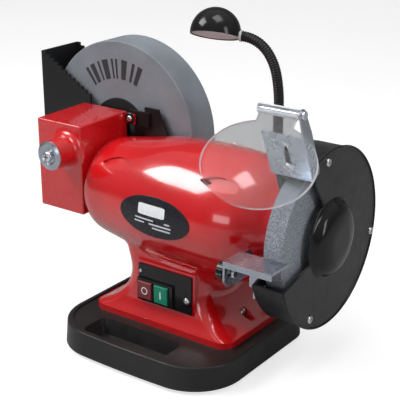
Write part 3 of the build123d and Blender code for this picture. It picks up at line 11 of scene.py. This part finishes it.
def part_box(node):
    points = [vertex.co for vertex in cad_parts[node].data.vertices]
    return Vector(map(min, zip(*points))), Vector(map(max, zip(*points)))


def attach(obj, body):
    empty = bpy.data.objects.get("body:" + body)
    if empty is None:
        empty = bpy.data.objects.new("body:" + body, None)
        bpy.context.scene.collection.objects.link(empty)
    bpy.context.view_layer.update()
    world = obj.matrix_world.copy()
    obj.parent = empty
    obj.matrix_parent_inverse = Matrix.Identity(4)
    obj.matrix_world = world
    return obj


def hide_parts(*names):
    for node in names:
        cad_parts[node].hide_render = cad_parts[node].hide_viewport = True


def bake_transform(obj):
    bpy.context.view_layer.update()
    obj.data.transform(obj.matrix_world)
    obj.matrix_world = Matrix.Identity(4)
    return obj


MM = 0.001
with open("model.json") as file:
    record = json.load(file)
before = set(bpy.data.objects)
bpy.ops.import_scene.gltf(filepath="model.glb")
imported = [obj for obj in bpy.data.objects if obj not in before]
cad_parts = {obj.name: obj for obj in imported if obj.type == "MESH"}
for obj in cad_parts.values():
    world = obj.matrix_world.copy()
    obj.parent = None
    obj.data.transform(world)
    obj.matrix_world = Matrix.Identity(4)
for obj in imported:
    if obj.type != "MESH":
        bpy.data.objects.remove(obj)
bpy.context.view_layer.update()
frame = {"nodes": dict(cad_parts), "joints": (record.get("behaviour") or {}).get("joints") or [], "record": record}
nodes = frame["nodes"]
joints = {j["name"]: j for j in frame["joints"]}


# ---------------------------------------------------------------- materials
class Shader:
    """A node material built step by step around one Principled BSDF."""

    def __init__(self, name, color, rough, metal=0.0, coat=0.0):
        self.material = bpy.data.materials.new(name)
        self.material.use_nodes = True
        self.tree = self.material.node_tree
        self.bsdf = self.tree.nodes["Principled BSDF"]
        self.bsdf.inputs["Base Color"].default_value = (*color, 1)
        self.bsdf.inputs["Roughness"].default_value = rough
        self.bsdf.inputs["Metallic"].default_value = metal
        self.bsdf.inputs["Coat Weight"].default_value = coat
        coords = self.tree.nodes.new("ShaderNodeTexCoord")
        self.place = coords.outputs["Object"]

    def node(self, kind, **settings):
        """A new node, with attributes and unlinked inputs set from the keywords."""
        made = self.tree.nodes.new(kind)
        for key, value in settings.items():
            if key in made.inputs:
                made.inputs[key].default_value = value
            else:
                setattr(made, key, value)
        return made

    def link(self, source, target):
        self.tree.links.new(source, target)

    def noise(self, scale, detail=3.0, stretch=None):
        """A noise value between 0 and 1 over the object's own coordinates, scale in cycles per metre."""
        texture = self.node("ShaderNodeTexNoise", Scale=scale, Detail=detail)
        if stretch:
            mapping = self.node("ShaderNodeMapping", Scale=stretch)
            self.link(self.place, mapping.inputs["Vector"])
            self.link(mapping.outputs["Vector"], texture.inputs["Vector"])
        else:
            self.link(self.place, texture.inputs["Vector"])
        return texture.outputs["Fac"]

    def ranged(self, value, low_out, high_out, low_in=0.3, high_in=0.7):
        """The value remapped, with both ends held."""
        mapped = self.tree.nodes.new("ShaderNodeMapRange")
        ends = (("From Min", low_in), ("From Max", high_in), ("To Min", low_out), ("To Max", high_out))
        for name, number in ends:
            mapped.inputs[name].default_value = number
        self.link(value, mapped.inputs["Value"])
        return mapped.outputs["Result"]

    def tint(self, value, dark, light):
        """Colours the surface between two colours by a value from 0 to 1."""
        mix = self.tree.nodes.new("ShaderNodeMix")
        mix.data_type = "RGBA"
        mix.inputs[6].default_value = (*dark, 1)
        mix.inputs[7].default_value = (*light, 1)
        self.link(value, mix.inputs[0])
        return mix.outputs[2]

    def over(self, value, base, color):
        """A second colour laid over a first one where the value is high."""
        mix = self.tree.nodes.new("ShaderNodeMix")
        mix.data_type = "RGBA"
        mix.inputs[7].default_value = (*color, 1)
        self.link(value, mix.inputs[0])
        self.link(base, mix.inputs[6])
        return mix.outputs[2]

    def paint(self, output):
        self.link(output, self.bsdf.inputs["Base Color"])

    def roughness(self, output):
        self.link(output, self.bsdf.inputs["Roughness"])

    def bump(self, height, distance_mm, strength=1.0):
        """Bump of a height value; later calls pile up on earlier ones."""
        bump = self.node("ShaderNodeBump", Strength=strength, Distance=distance_mm * MM)
        self.link(height, bump.inputs["Height"])
        earlier = self.bsdf.inputs["Normal"].links
        if earlier:
            self.link(earlier[0].from_socket, bump.inputs["Normal"])
        self.link(bump.outputs["Normal"], self.bsdf.inputs["Normal"])

    def edges(self, size_mm=0.8):
        """A value near 1 on sharp outer edges, where callers lighten the colour: edge wear plus a painted edge
        highlight.
        """
        bevel = self.node("ShaderNodeBevel", samples=4, Radius=size_mm * MM)
        geometry = self.tree.nodes.new("ShaderNodeNewGeometry")
        dot = self.node("ShaderNodeVectorMath", operation="DOT_PRODUCT")
        self.link(bevel.outputs["Normal"], dot.inputs[0])
        self.link(geometry.outputs["Normal"], dot.inputs[1])
        return self.ranged(dot.outputs["Value"], 1.0, 0.0, 0.86, 0.985)


def scaled(color, factor):
    return tuple(min(1.0, c * factor) for c in color)


def enamel(name, color, rough=0.24):
    """Sprayed and baked paint: faint orange peel, faint clouding, lighter edges from paint thinning plus a painted
    edge highlight.
    """
    s = Shader(name, color, rough, coat=1.0)
    cloud = s.ranged(s.noise(14, 4), 0.0, 1.0)
    base = s.tint(cloud, scaled(color, 0.90), scaled(color, 1.07))
    # Lighter edges: paint thinning plus a painted edge highlight.
    s.paint(s.over(s.ranged(s.edges(0.6), 0.0, 0.35, 0, 1), base, scaled(color, 1.35)))
    s.roughness(s.ranged(s.noise(60, 5), rough - 0.05, rough + 0.06))
    s.bump(s.noise(520, 2), 0.01, 0.25)
    return s.material


def moulding(name, color, rough=0.55, grain=1500, depth=0.05):
    """Moulded plastic or rubber: a fine spark grain, soft rubbed patches, lighter edges from dust plus a painted
    edge highlight.
    """
    s = Shader(name, color, rough)
    rub = s.ranged(s.noise(22, 5), 0.0, 1.0)
    base = s.tint(rub, scaled(color, 0.82), scaled(color, 1.22))
    # Lighter edges: dust plus a painted edge highlight.
    edge = s.ranged(s.edges(0.9), 0.0, 0.5, 0, 1)
    s.paint(s.over(edge, base, scaled(color, 2.0)))
    s.roughness(s.ranged(s.noise(90, 4), rough - 0.10, rough + 0.08))
    s.bump(s.noise(grain, 3), depth, 0.5)
    s.bsdf.inputs["Specular IOR Level"].default_value = 0.3
    return s.material


def guard_face(name, color, glossy_r):
    """Satin sheet whose pressed dome, within a radius of the motor axis, is polished and painted darker as a
    painted dark reflection.
    """
    s = Shader(name, color, 0.34)
    axis = Vector(joints["rotor_spin"]["pos_m"])
    shift = s.node("ShaderNodeVectorMath", operation="SUBTRACT")
    s.link(s.place, shift.inputs[0])
    shift.inputs[1].default_value = axis
    flat = s.node("ShaderNodeVectorMath", operation="MULTIPLY")
    s.link(shift.outputs["Vector"], flat.inputs[0])
    flat.inputs[1].default_value = (0, 1, 1)
    reach = s.node("ShaderNodeVectorMath", operation="LENGTH")
    s.link(flat.outputs["Vector"], reach.inputs[0])
    # Mask of the dome: it is polished, and painted darker as a painted dark reflection.
    dome = s.ranged(reach.outputs["Value"], 1.0, 0.0, glossy_r - 0.001, glossy_r + 0.001)
    rub = s.ranged(s.noise(22, 5), 0.0, 1.0)
    base = s.tint(rub, scaled(color, 0.85), scaled(color, 1.18))
    # Lighter edges: edge wear plus a painted edge highlight.
    base = s.over(s.ranged(s.edges(0.9), 0.0, 0.5, 0, 1), base, scaled(color, 2.2))
    # Painted dark reflection on the dome.
    s.paint(s.over(dome, base, scaled(color, 0.30)))
    patchy = s.ranged(s.noise(90, 4), 0.32, 0.44)
    polish = s.node("ShaderNodeMix")
    s.link(dome, polish.inputs[0])
    s.link(patchy, polish.inputs[2])
    polish.inputs[3].default_value = 0.13
    s.roughness(polish.outputs[0])
    s.bump(s.noise(900, 3), 0.02, 0.3)
    s.bsdf.inputs["Specular IOR Level"].default_value = 0.35
    return s.material


def zinc(name, color, rough=0.27):
    """Bright zinc-plated sheet: rolling lines, faint blue-grey clouds, brighter edges from wear plus a painted
    edge highlight.
    """
    s = Shader(name, color, rough, metal=0.96)
    cloud = s.ranged(s.noise(48, 3), 0.0, 1.0)
    base = s.tint(cloud, scaled(color, 0.90), scaled(color, 1.07))
    # Brighter edges: wear plus a painted edge highlight.
    s.paint(s.over(s.ranged(s.edges(0.5), 0.0, 0.7, 0, 1), base, (0.93, 0.94, 0.96)))
    s.roughness(s.ranged(s.noise(110, 4), rough - 0.05, rough + 0.07))
    s.bump(s.noise(300, 2, (1, 1, 14)), 0.012, 0.15)
    return s.material


def turned(name, color, rough=0.22):
    """Machined or rolled steel: fine lines across, small stains, bright edges that are partly a painted edge
    highlight.
    """
    s = Shader(name, color, rough, metal=1.0)
    stain = s.ranged(s.noise(180, 4), 0.0, 1.0)
    base = s.tint(stain, scaled(color, 0.78), scaled(color, 1.12))
    # Bright edges: wear plus a painted edge highlight.
    s.paint(s.over(s.ranged(s.edges(0.3), 0.0, 0.6, 0, 1), base, (0.95, 0.95, 0.96)))
    s.roughness(s.ranged(s.noise(700, 3), rough - 0.06, rough + 0.12))
    s.bump(s.noise(1800, 2, (6, 1, 1)), 0.01, 0.3)
    return s.material


def coarse_stone(name, color):
    """Coarse vitrified abrasive: grains of several greys, open pores, chipped surface."""
    s = Shader(name, color, 0.85)
    grain = s.node("ShaderNodeTexVoronoi", Scale=1500.0)
    s.link(s.place, grain.inputs["Vector"])
    shade = s.node("ShaderNodeSeparateColor")
    s.link(grain.outputs["Color"], shade.inputs["Color"])
    base = s.tint(s.ranged(shade.outputs["Red"], 0, 1, 0.05, 0.95), scaled(color, 0.45), scaled(color, 1.55))
    pale = s.ranged(s.noise(2300, 2), 0.0, 1.0, 0.62, 0.72)
    base = s.over(pale, base, (0.62, 0.64, 0.68))
    dark = s.ranged(s.noise(1700, 2), 1.0, 0.0, 0.28, 0.36)
    s.paint(s.over(dark, base, (0.03, 0.03, 0.04)))
    s.roughness(s.ranged(s.noise(900, 2), 0.72, 0.96))
    s.bump(grain.outputs["Distance"], 0.25, 0.7)
    s.bump(s.noise(420, 4), 0.25, 0.4)
    return s.material


def fine_stone(name, color):
    """Fine-grained wet wheel: soft clouds from sitting in water, tiny pores."""
    s = Shader(name, color, 0.72)
    cloud = s.ranged(s.noise(26, 5), 0.0, 1.0)
    base = s.tint(cloud, scaled(color, 0.86), scaled(color, 1.13))
    speck = s.ranged(s.noise(2600, 2), 0.0, 0.5, 0.60, 0.74)
    base = s.over(speck, base, scaled(color, 1.8))
    pore = s.ranged(s.noise(1900, 2), 0.7, 0.0, 0.26, 0.34)
    s.paint(s.over(pore, base, scaled(color, 0.35)))
    s.roughness(s.ranged(s.noise(40, 4), 0.58, 0.84))
    s.bump(s.noise(2200, 3), 0.06, 0.5)
    s.bump(s.noise(240, 3), 0.08, 0.25)
    return s.material


def clear_sheet(name, tilt):
    """Clear moulded sheet whose sawn rim looks milky; tilt is the sheet's normal."""
    s = Shader(name, (0.93, 0.96, 0.98), 0.04)
    s.bsdf.inputs["Transmission Weight"].default_value = 1.0
    s.bsdf.inputs["IOR"].default_value = 1.12
    geometry = s.tree.nodes.new("ShaderNodeNewGeometry")
    dot = s.node("ShaderNodeVectorMath", operation="DOT_PRODUCT")
    dot.inputs[1].default_value = tilt
    s.link(geometry.outputs["True Normal"], dot.inputs[0])
    flat = s.node("ShaderNodeMath", operation="ABSOLUTE")
    s.link(dot.outputs["Value"], flat.inputs[0])
    rim = s.ranged(flat.outputs[0], 1.0, 0.0, 0.80, 0.95)
    haze = s.ranged(s.noise(30, 4), 0.01, 0.03)
    s.roughness(haze)
    see = s.node("ShaderNodeMath", operation="SUBTRACT")
    see.inputs[0].default_value = 1.0
    s.link(s.ranged(rim, 0.0, 0.80, 0, 1), see.inputs[1])
    s.link(see.outputs[0], s.bsdf.inputs["Transmission Weight"])
    s.paint(s.tint(rim, (0.95, 0.97, 0.99), (0.88, 0.91, 0.94)))
    s.bump(s.noise(45, 2), 0.05, 0.1)
    return s.material


def laminated(name, color):
    """A stack of thin sheets seen at its edge: lines across the shaft direction."""
    s = Shader(name, color, 0.45, metal=0.9)
    wave = s.node("ShaderNodeTexWave", Scale=320.0, bands_direction="X")
    s.link(s.place, wave.inputs["Vector"])
    s.paint(s.tint(wave.outputs["Fac"], scaled(color, 0.5), scaled(color, 1.3)))
    s.roughness(s.ranged(s.noise(200, 3), 0.35, 0.6))
    s.bump(wave.outputs["Fac"], 0.05, 0.5)
    return s.material


def windings(name, color):
    """Enamelled wire bundles: fine strands and varnish patches."""
    s = Shader(name, color, 0.3, metal=0.7)
    strand = s.noise(900, 3, (0.2, 1, 1))
    s.paint(s.tint(s.ranged(strand, 0, 1), scaled(color, 0.45), scaled(color, 1.2)))
    s.roughness(s.ranged(s.noise(120, 3), 0.22, 0.5))
    s.bump(strand, 0.3, 0.6)
    return s.material


def fibrous(name, color):
    """Blotting paper: pale fibres."""
    s = Shader(name, color, 0.95)
    fibre = s.noise(1400, 5, (1, 4, 1))
    s.paint(s.tint(s.ranged(fibre, 0, 1), scaled(color, 0.8), scaled(color, 1.1)))
    s.roughness(s.ranged(s.noise(400, 3), 0.85, 1.0))
    s.bump(fibre, 0.08, 0.5)
    return s.material


SHIELD_LEAN = math.radians(39.4)
SHIELD_NORMAL = (0.0, -math.cos(SHIELD_LEAN), math.sin(SHIELD_LEAN))
FINISHES = {
    "red_paint": lambda n: enamel(n, (0.58, 0.004, 0.007), 0.19),
    "red_gearbox": lambda n: enamel(n, (0.57, 0.005, 0.008), 0.26),
    "black_base": lambda n: moulding(n, (0.018, 0.0165, 0.0165), 0.42, 1300, 0.06),
    "black_guard": lambda n: moulding(n, (0.017, 0.017, 0.018), 0.34, 900, 0.03),
    "black_tank": lambda n: moulding(n, (0.010, 0.010, 0.011), 0.40, 1200, 0.04),
    "black_hub": lambda n: moulding(n, (0.012, 0.012, 0.013), 0.42, 800, 0.04),
    "black_gloss": lambda n: moulding(n, (0.010, 0.010, 0.011), 0.16, 300, 0.01),
    "neck_rubber": lambda n: moulding(n, (0.010, 0.010, 0.011), 0.38, 1200, 0.03),
    "foot_rubber": lambda n: moulding(n, (0.020, 0.020, 0.021), 0.75, 900, 0.06),
    "dry_stone": lambda n: coarse_stone(n, (0.247, 0.267, 0.305)),
    "wet_stone": lambda n: fine_stone(n, (0.205, 0.228, 0.255)),
    "zinc": lambda n: zinc(n, (0.43, 0.465, 0.525), 0.27),
    "steel": lambda n: turned(n, (0.58, 0.59, 0.61), 0.26),
    "screw_steel": lambda n: turned(n, (0.76, 0.77, 0.80), 0.20),
    "clear": lambda n: clear_sheet(n, SHIELD_NORMAL),
    "button_red": lambda n: moulding(n, (0.20, 0.035, 0.042), 0.35, 400, 0.01),
    "button_green": lambda n: moulding(n, (0.010, 0.21, 0.125), 0.35, 400, 0.01),
    "plate_dark": lambda n: moulding(n, (0.016, 0.016, 0.021), 0.30, 500, 0.01),
    "grey_plastic": lambda n: moulding(n, (0.58, 0.59, 0.60), 0.45, 600, 0.02),
    "aluminium": lambda n: turned(n, (0.72, 0.72, 0.74), 0.42),
    "lamination": lambda n: laminated(n, (0.30, 0.30, 0.32)),
    "copper": lambda n: windings(n, (0.72, 0.30, 0.12)),
    "bronze": lambda n: turned(n, (0.60, 0.42, 0.22), 0.38),
    "nylon": lambda n: moulding(n, (0.78, 0.75, 0.66), 0.42, 500, 0.02),
    "paper": lambda n: fibrous(n, (0.72, 0.66, 0.52)),
    "capacitor_can": lambda n: turned(n, (0.62, 0.63, 0.66), 0.35),
}
finish_of = {name: make(name) for name, make in FINISHES.items()}


def wear_finish(thing, slot):
    """Gives an object a single finish."""
    thing.data.materials.clear()
    thing.data.materials.append(finish_of[slot])


for part in frame["record"]["subparts"]:
    wear_finish(nodes[part["node"]], part["material_slot"])
nodes["guard_cover"].data.materials[0] = guard_face("black_guard_cover", (0.026, 0.026, 0.027), 0.0405)


# ---------------------------------------------------------------- marks that lie on a surface
def add_mesh(name, vertices, faces, finish, body, smooth=True):
    """A new mesh piece with the given finish, which rides on a body when one is given."""
    mesh = bpy.data.meshes.new(name)
    mesh.from_pydata([tuple(v) for v in vertices], [], faces)
    mesh.update()
    for face in mesh.polygons:
        face.use_smooth = smooth
    thing = bpy.data.objects.new(name, mesh)
    bpy.context.scene.collection.objects.link(thing)
    mesh.materials.append(finish)
    if body:
        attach(thing, body)
    return thing


def printed(name, color, rough=0.4):
    """Screen-printed ink: slightly uneven cover."""
    s = Shader(name, color, rough)
    s.paint(s.tint(s.ranged(s.noise(500, 4), 0, 1), scaled(color, 0.88), scaled(color, 1.06)))
    s.roughness(s.ranged(s.noise(200, 3), rough - 0.08, rough + 0.1))
    s.bump(s.noise(1200, 2), 0.01, 0.3)
    return s.material


INK = {
    "ink_white": printed("ink_white", (0.86, 0.87, 0.88)),
    "ink_pale": printed("ink_pale", (0.62, 0.64, 0.68)),
    "ink_grey": printed("ink_grey", (0.028, 0.030, 0.034), 0.75),
}
CAD_TREES = {}
DECAL_LIFT = 0.00012         # how far a printed mark stands off its face
PATCH_CORNER = 0.1           # 0 for square patches, 1 for oval ones


def height_on(node, x, z, lift):
    """The point lift in front of a node's front face, at x and z."""
    if node not in CAD_TREES:
        graph = bpy.context.evaluated_depsgraph_get()
        CAD_TREES[node] = BVHTree.FromObject(nodes[node], graph)
    hit = CAD_TREES[node].ray_cast(Vector((x, -0.5, z)), Vector((0, 1, 0)))[0]
    return Vector((x, hit.y - lift, z)) if hit else None


def decal_patch(name, node, centre, half_x, half_z, ink, body, lift=DECAL_LIFT):
    """A thin printed patch with slightly rounded corners, draped on a node's front face."""
    rings, steps = 5, 36
    power = 2 / (2 + 8 * (1 - PATCH_CORNER))
    points, faces = [], []
    for ring in range(rings + 1):
        share = ring / rings
        for step in range(steps):
            a = 2 * math.pi * step / steps
            u = math.copysign(abs(math.cos(a)) ** power, math.cos(a)) * half_x * share
            w = math.copysign(abs(math.sin(a)) ** power, math.sin(a)) * half_z * share
            points.append(height_on(node, centre[0] + u, centre[1] + w, lift))
    for ring in range(rings):
        for step in range(steps):
            after = (step + 1) % steps
            row, above = ring * steps, (ring + 1) * steps
            faces.append((row + step, row + after, above + after, above + step))
    return add_mesh(name, points, faces, INK[ink], body)


def decal_ring(name, node, centre, radii, width, ink, body, lift=DECAL_LIFT):
    """A thin printed oval line, draped on a node's front face."""
    steps = 120
    points, faces = [], []
    for edge in (0.0, width):
        for step in range(steps):
            a = 2 * math.pi * step / steps
            x = centre[0] + (radii[0] - edge) * math.cos(a)
            z = centre[1] + (radii[1] - edge) * math.sin(a)
            points.append(height_on(node, x, z, lift))
    for step in range(steps):
        after = (step + 1) % steps
        faces.append((step, after, steps + after, steps + step))
    return add_mesh(name, points, faces, INK[ink], body)


def middle(node):
    lo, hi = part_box(node)
    return (lo + hi) / 2


def plate_marks():
    """A pale block and generic bars on the oval plate."""
    plate = middle("name_plate")
    patches = (("block", -0.002, 0.0070, 0.0170, 0.0056, "ink_white", 0.0001),
               ("bar_a", -0.0105, -0.0028, 0.0120, 0.0008, "ink_pale", 0.0001),
               ("bar_b", 0.0185, -0.0028, 0.0035, 0.0008, "ink_pale", 0.0001),
               ("bar_c", -0.0170, -0.0066, 0.0065, 0.0008, "ink_pale", 0.0001),
               ("bar_d", 0.0095, -0.0066, 0.0140, 0.0009, "ink_pale", 0.0001),
               ("bar_e", 0.0110, -0.0104, 0.0115, 0.0009, "ink_pale", 0.0001))
    for name, dx, dz, half_x, half_z, ink, lift in patches:
        decal_patch(f"plate_{name}", "name_plate", (plate.x + dx, plate.z + dz), half_x, half_z, ink,
                    "stand", lift=lift)


def button_marks():
    """The plain off ring and on bar on the two buttons."""
    off, on = middle("button_off"), middle("button_on")
    decal_ring("off_ring", "button_off", (off.x, off.z), (0.0040, 0.0040), 0.0010,
               "ink_white", "off_button")
    decal_patch("on_bar", "button_on", (on.x, on.z), 0.0007, 0.0042,
                "ink_white", "on_button")


MARK_START = 128.0           # where the stencilled arc begins, degrees from +X
MARK_RADII = (0.058, 0.080)
GUARD_FACE_X = 0.1651
GUARD_RIM_R = 0.0884
LIP_R = 0.0412


def wheel_marks():
    """Generic ink blocks stencilled in an arc on the wet wheel's front face."""
    lo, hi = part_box("wet_wheel")
    centre = (lo + hi) / 2
    strokes = ((0.0, 3.0), (5.5, 5.0), (14.0, 2.2), (19.0, 6.5), (29.0, 2.2), (33.5, 2.2),
               (40.0, 6.0), (51.0, 3.0), (57.0, 5.0))
    steps = 8
    for number, (start, span) in enumerate(strokes):
        points, faces = [], []
        for step in range(steps + 1):
            a = math.radians(MARK_START - start - span * step / steps)
            for r in MARK_RADII:
                points.append((centre.x + r * math.cos(a), lo.y - 0.00012, centre.z + r * math.sin(a)))
        for step in range(steps):
            faces.append((2 * step + 1, 2 * step, 2 * step + 2, 2 * step + 3))
        add_mesh(f"wheel_mark_{number}", points, faces, INK["ink_grey"], "wet")


def swept_round(name, path, radius, finish, body):
    """A round bead along a list of points, with closed ends."""
    curve = bpy.data.curves.new(name, "CURVE")
    curve.dimensions = "3D"
    curve.bevel_depth = radius
    curve.bevel_resolution = 4
    curve.use_fill_caps = True
    spline = curve.splines.new("POLY")
    spline.points.add(len(path) - 1)
    for place, point in zip(path, spline.points):
        point.co = (*place, 1)
    curve.materials.append(finish)
    bead = bpy.data.objects.new(name, curve)
    bpy.context.scene.collection.objects.link(bead)
    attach(bead, body)
    return bead


def guard_lip():
    """The rolled lip along the cover's open edge, round the dome and out to the rim."""
    axis = Vector(joints["rotor_spin"]["pos_m"])
    face = axis.x + GUARD_FACE_X
    rim = GUARD_RIM_R

    def on_face(y, z):
        return Vector((face, axis.y + y, axis.z + z))

    path = [on_face(-0.0849, -0.0252), on_face(-0.0620, -0.0197)]
    for step in range(25):
        a = math.radians(199 - 85 * step / 24)
        path.append(on_face(LIP_R * math.cos(a), LIP_R * math.sin(a)))
    end = math.radians(26)
    path += [on_face(-0.0350, 0.0632), on_face(-rim * math.sin(end), rim * math.cos(end))]
    swept_round("guard_lip", path, 0.0015, finish_of["black_gloss"], "stand")
    around = []
    for step in range(121):
        a = math.radians(116 - 279.5 * step / 120)
        around.append(on_face(rim * math.cos(a), rim * math.sin(a)))
    swept_round("guard_rim_bead", around, 0.0011, finish_of["black_gloss"], "stand")


def tank_lug():
    """The round black lug of the tank round its upper screw."""
    lo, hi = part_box("tank_screws")
    place = Vector((hi.x - 0.0036, 0, hi.z - 0.0036))
    steps, points, faces = 40, [], []
    rings = ((0.0026, 0.0292), (0.0026, 0.0281), (0.0058, 0.0281), (0.0064, 0.0286), (0.0064, 0.0292))
    for radius, y in rings:
        for step in range(steps):
            a = 2 * math.pi * step / steps
            points.append((place.x + radius * math.cos(a), y, place.z + radius * math.sin(a)))
    for ring in range(len(rings) - 1):
        for step in range(steps):
            after = (step + 1) % steps
            faces.append((ring * steps + step, (ring + 1) * steps + step,
                          (ring + 1) * steps + after, ring * steps + after))
    add_mesh("tank_lug", points, faces, finish_of["black_gloss"], "stand", smooth=False)


# ---------------------------------------------------------------- gooseneck
NECK_RADIUS = 0.0052
RIB_PITCH = 0.0024
RIB_DEPTH = 0.0007
NECK_ARCS = ((0.150, 12.0), (0.055, 23.0), (0.034, 53.0))
NECK_HEADING = math.radians(193)
NECK_FOOT_Z = 0.2135         # the sleeve starts inside the socket


def neck_line(first_z, stop_at=None):
    """Points and directions along the neck's centre, from a height above its socket to its end."""
    bend = Vector(joints["lamp_bend"]["pos_m"])
    side = Vector((math.cos(NECK_HEADING), math.sin(NECK_HEADING), 0))
    up = Vector((0, 0, 1))
    path = []
    step = RIB_PITCH / 8
    z = first_z
    while z < bend.z:
        path.append((Vector((bend.x, bend.y, z)), up.copy()))
        z += step
    place, turned = bend.copy(), 0.0
    for radius, turn in NECK_ARCS:
        count = max(1, round(math.radians(turn) * radius / step))
        for _ in range(count):
            path.append((place.copy(), side * math.sin(turned) + up * math.cos(turned)))
            turned += math.radians(turn) / count
            place += (side * math.sin(turned) + up * math.cos(turned)) * radius * math.radians(turn) / count
    path.append((place.copy(), side * math.sin(turned) + up * math.cos(turned)))
    if stop_at is not None:
        path = [entry for entry in path if entry[0].z <= stop_at]
    return path


def ribbed_tube(name, path, offset, hides):
    """A sleeve with rounded ribs along a path."""
    steps = 28
    points, faces = [], []
    travelled = offset
    before = path[0][0]
    for place, way in path:
        travelled += (place - before).length
        before = place
        rib = 0.5 + 0.5 * math.cos(2 * math.pi * travelled / RIB_PITCH)
        radius = NECK_RADIUS - RIB_DEPTH * (1 - rib ** 0.6)
        across = Vector((0, 1, 0)).cross(way).normalized()
        other = way.cross(across)
        for step in range(steps):
            a = 2 * math.pi * step / steps
            points.append(place + (across * math.cos(a) + other * math.sin(a)) * radius)
    rows = len(path)
    for row in range(rows - 1):
        for step in range(steps):
            after = (step + 1) % steps
            faces.append((row * steps + step, row * steps + after,
                          (row + 1) * steps + after, (row + 1) * steps + step))
    faces.append(tuple(reversed(range(steps))))
    faces.append(tuple(range((rows - 1) * steps, rows * steps)))
    tube = add_mesh(name, points, faces, finish_of["neck_rubber"], None)
    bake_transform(tube)
    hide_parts(*hides)
    return tube


def gooseneck():
    lean = Vector(joints["lamp_lean"]["pos_m"])
    bend = Vector(joints["lamp_bend"]["pos_m"])
    middle_z = (lean.z + bend.z) / 2
    ribbed_tube("neck_sleeve_low", neck_line(NECK_FOOT_Z, middle_z), 0.0,
                ["neck_lower"])
    low_length = middle_z - NECK_FOOT_Z
    ribbed_tube("neck_sleeve_high", neck_line(middle_z), low_length,
                ["neck_upper"])


# ---------------------------------------------------------------- stage
FLOOR_NEAR, FLOOR_FAR, FLOOR_HALF_WIDTH = 9.0, 2.2, 9.0
FLOOR_CURVE, FLOOR_TOP = 1.2, 4.0
CAMERA_PLACE = (0.603, -0.815, 0.532)
CAMERA_WAY = (-0.5495, 0.7578, -0.3518)
CAMERA_AZIMUTH, CAMERA_LENS = 35.95, 94.5


def floor():
    """A large pale sheet below the feet, which curves up behind the object."""
    points, faces = [], []
    profile = [(-FLOOR_NEAR, 0.0), (FLOOR_FAR, 0.0)]
    for step in range(1, 13):
        a = math.pi / 2 * step / 12
        profile.append((FLOOR_FAR + FLOOR_CURVE * math.sin(a), FLOOR_CURVE - FLOOR_CURVE * math.cos(a)))
    profile.append((FLOOR_FAR + FLOOR_CURVE, FLOOR_TOP))
    heading = math.radians(CAMERA_AZIMUTH)
    away = Vector((-math.sin(heading), math.cos(heading), 0))
    across = Vector((away.y, -away.x, 0))
    for along, height in profile:
        for side in (-FLOOR_HALF_WIDTH, FLOOR_HALF_WIDTH):
            points.append(away * along + across * side + Vector((0, 0, height)))
    for row in range(len(profile) - 1):
        faces.append((2 * row, 2 * row + 1, 2 * row + 3, 2 * row + 2))
    s = Shader("backdrop", (0.87, 0.87, 0.87), 0.7)
    s.paint(s.tint(s.ranged(s.noise(3, 3), 0, 1), (0.44, 0.44, 0.44), (0.46, 0.46, 0.46)))
    s.roughness(s.ranged(s.noise(20, 3), 0.6, 0.8))
    s.bump(s.noise(400, 2), 0.02, 0.1)
    s.bsdf.inputs["Emission Color"].default_value = (1, 1, 1, 1)
    seen = s.tree.nodes.new("ShaderNodeLightPath")
    s.link(s.ranged(seen.outputs["Is Camera Ray"], 0.0, 0.68, 0, 1), s.bsdf.inputs["Emission Strength"])
    mesh = bpy.data.meshes.new("floor")
    mesh.from_pydata([tuple(p) for p in points], [], faces)
    mesh.materials.append(s.material)
    for face in mesh.polygons:
        face.use_smooth = True
    sheet = bpy.data.objects.new("floor", mesh)
    bpy.context.scene.collection.objects.link(sheet)


def softbox(name, place, aim, width, height, power):
    """A rectangular area light at a place, turned to a point."""
    data = bpy.data.lights.new(name, "AREA")
    data.shape = "RECTANGLE"
    data.size = width
    data.size_y = height
    data.energy = power
    lamp = bpy.data.objects.new(name, data)
    bpy.context.scene.collection.objects.link(lamp)
    lamp.location = place
    lamp.rotation_mode = "QUATERNION"
    lamp.rotation_quaternion = (Vector(aim) - Vector(place)).to_track_quat("-Z", "Y")


def lights():
    softbox("key", (-0.9, -0.7, 1.3), (-0.02, 0, 0.12), 0.8, 0.6, 17)
    softbox("overhead", (0.3, -0.1, 1.5), (0, 0, 0.1), 0.6, 0.7, 7)
    softbox("side", (1.5, -0.1, 0.7), (0.05, 0, 0.15), 0.35, 0.9, 5)
    softbox("low_front", (0.1, -1.7, 0.45), (0, 0, 0.1), 0.9, 0.35, 3)
    world = bpy.data.worlds.new("studio")
    world.use_nodes = True
    tree = world.node_tree
    coords = tree.nodes.new("ShaderNodeTexCoord")
    split = tree.nodes.new("ShaderNodeSeparateXYZ")
    ramp = tree.nodes.new("ShaderNodeValToRGB")
    tree.links.new(coords.outputs["Generated"], split.inputs["Vector"])
    tree.links.new(split.outputs["Z"], ramp.inputs["Fac"])
    tree.links.new(ramp.outputs["Color"], tree.nodes["Background"].inputs["Color"])
    ramp.color_ramp.elements[0].color = (0.25, 0.25, 0.26, 1)
    ramp.color_ramp.elements[1].color = (1, 1, 1, 1)
    tree.nodes["Background"].inputs["Strength"].default_value = 0.55
    bpy.context.scene.world = world
    bpy.context.scene.view_settings.view_transform = "Standard"


def camera():
    data = bpy.data.cameras.new("camera")
    data.sensor_width = 36
    data.lens = CAMERA_LENS
    eye = bpy.data.objects.new("camera", data)
    bpy.context.scene.collection.objects.link(eye)
    eye.location = CAMERA_PLACE
    eye.rotation_mode = "QUATERNION"
    eye.rotation_quaternion = Vector(CAMERA_WAY).to_track_quat("-Z", "Y")
    bpy.context.scene.camera = eye


plate_marks()
button_marks()
wheel_marks()
guard_lip()
tank_lug()
gooseneck()
floor()
lights()
camera()
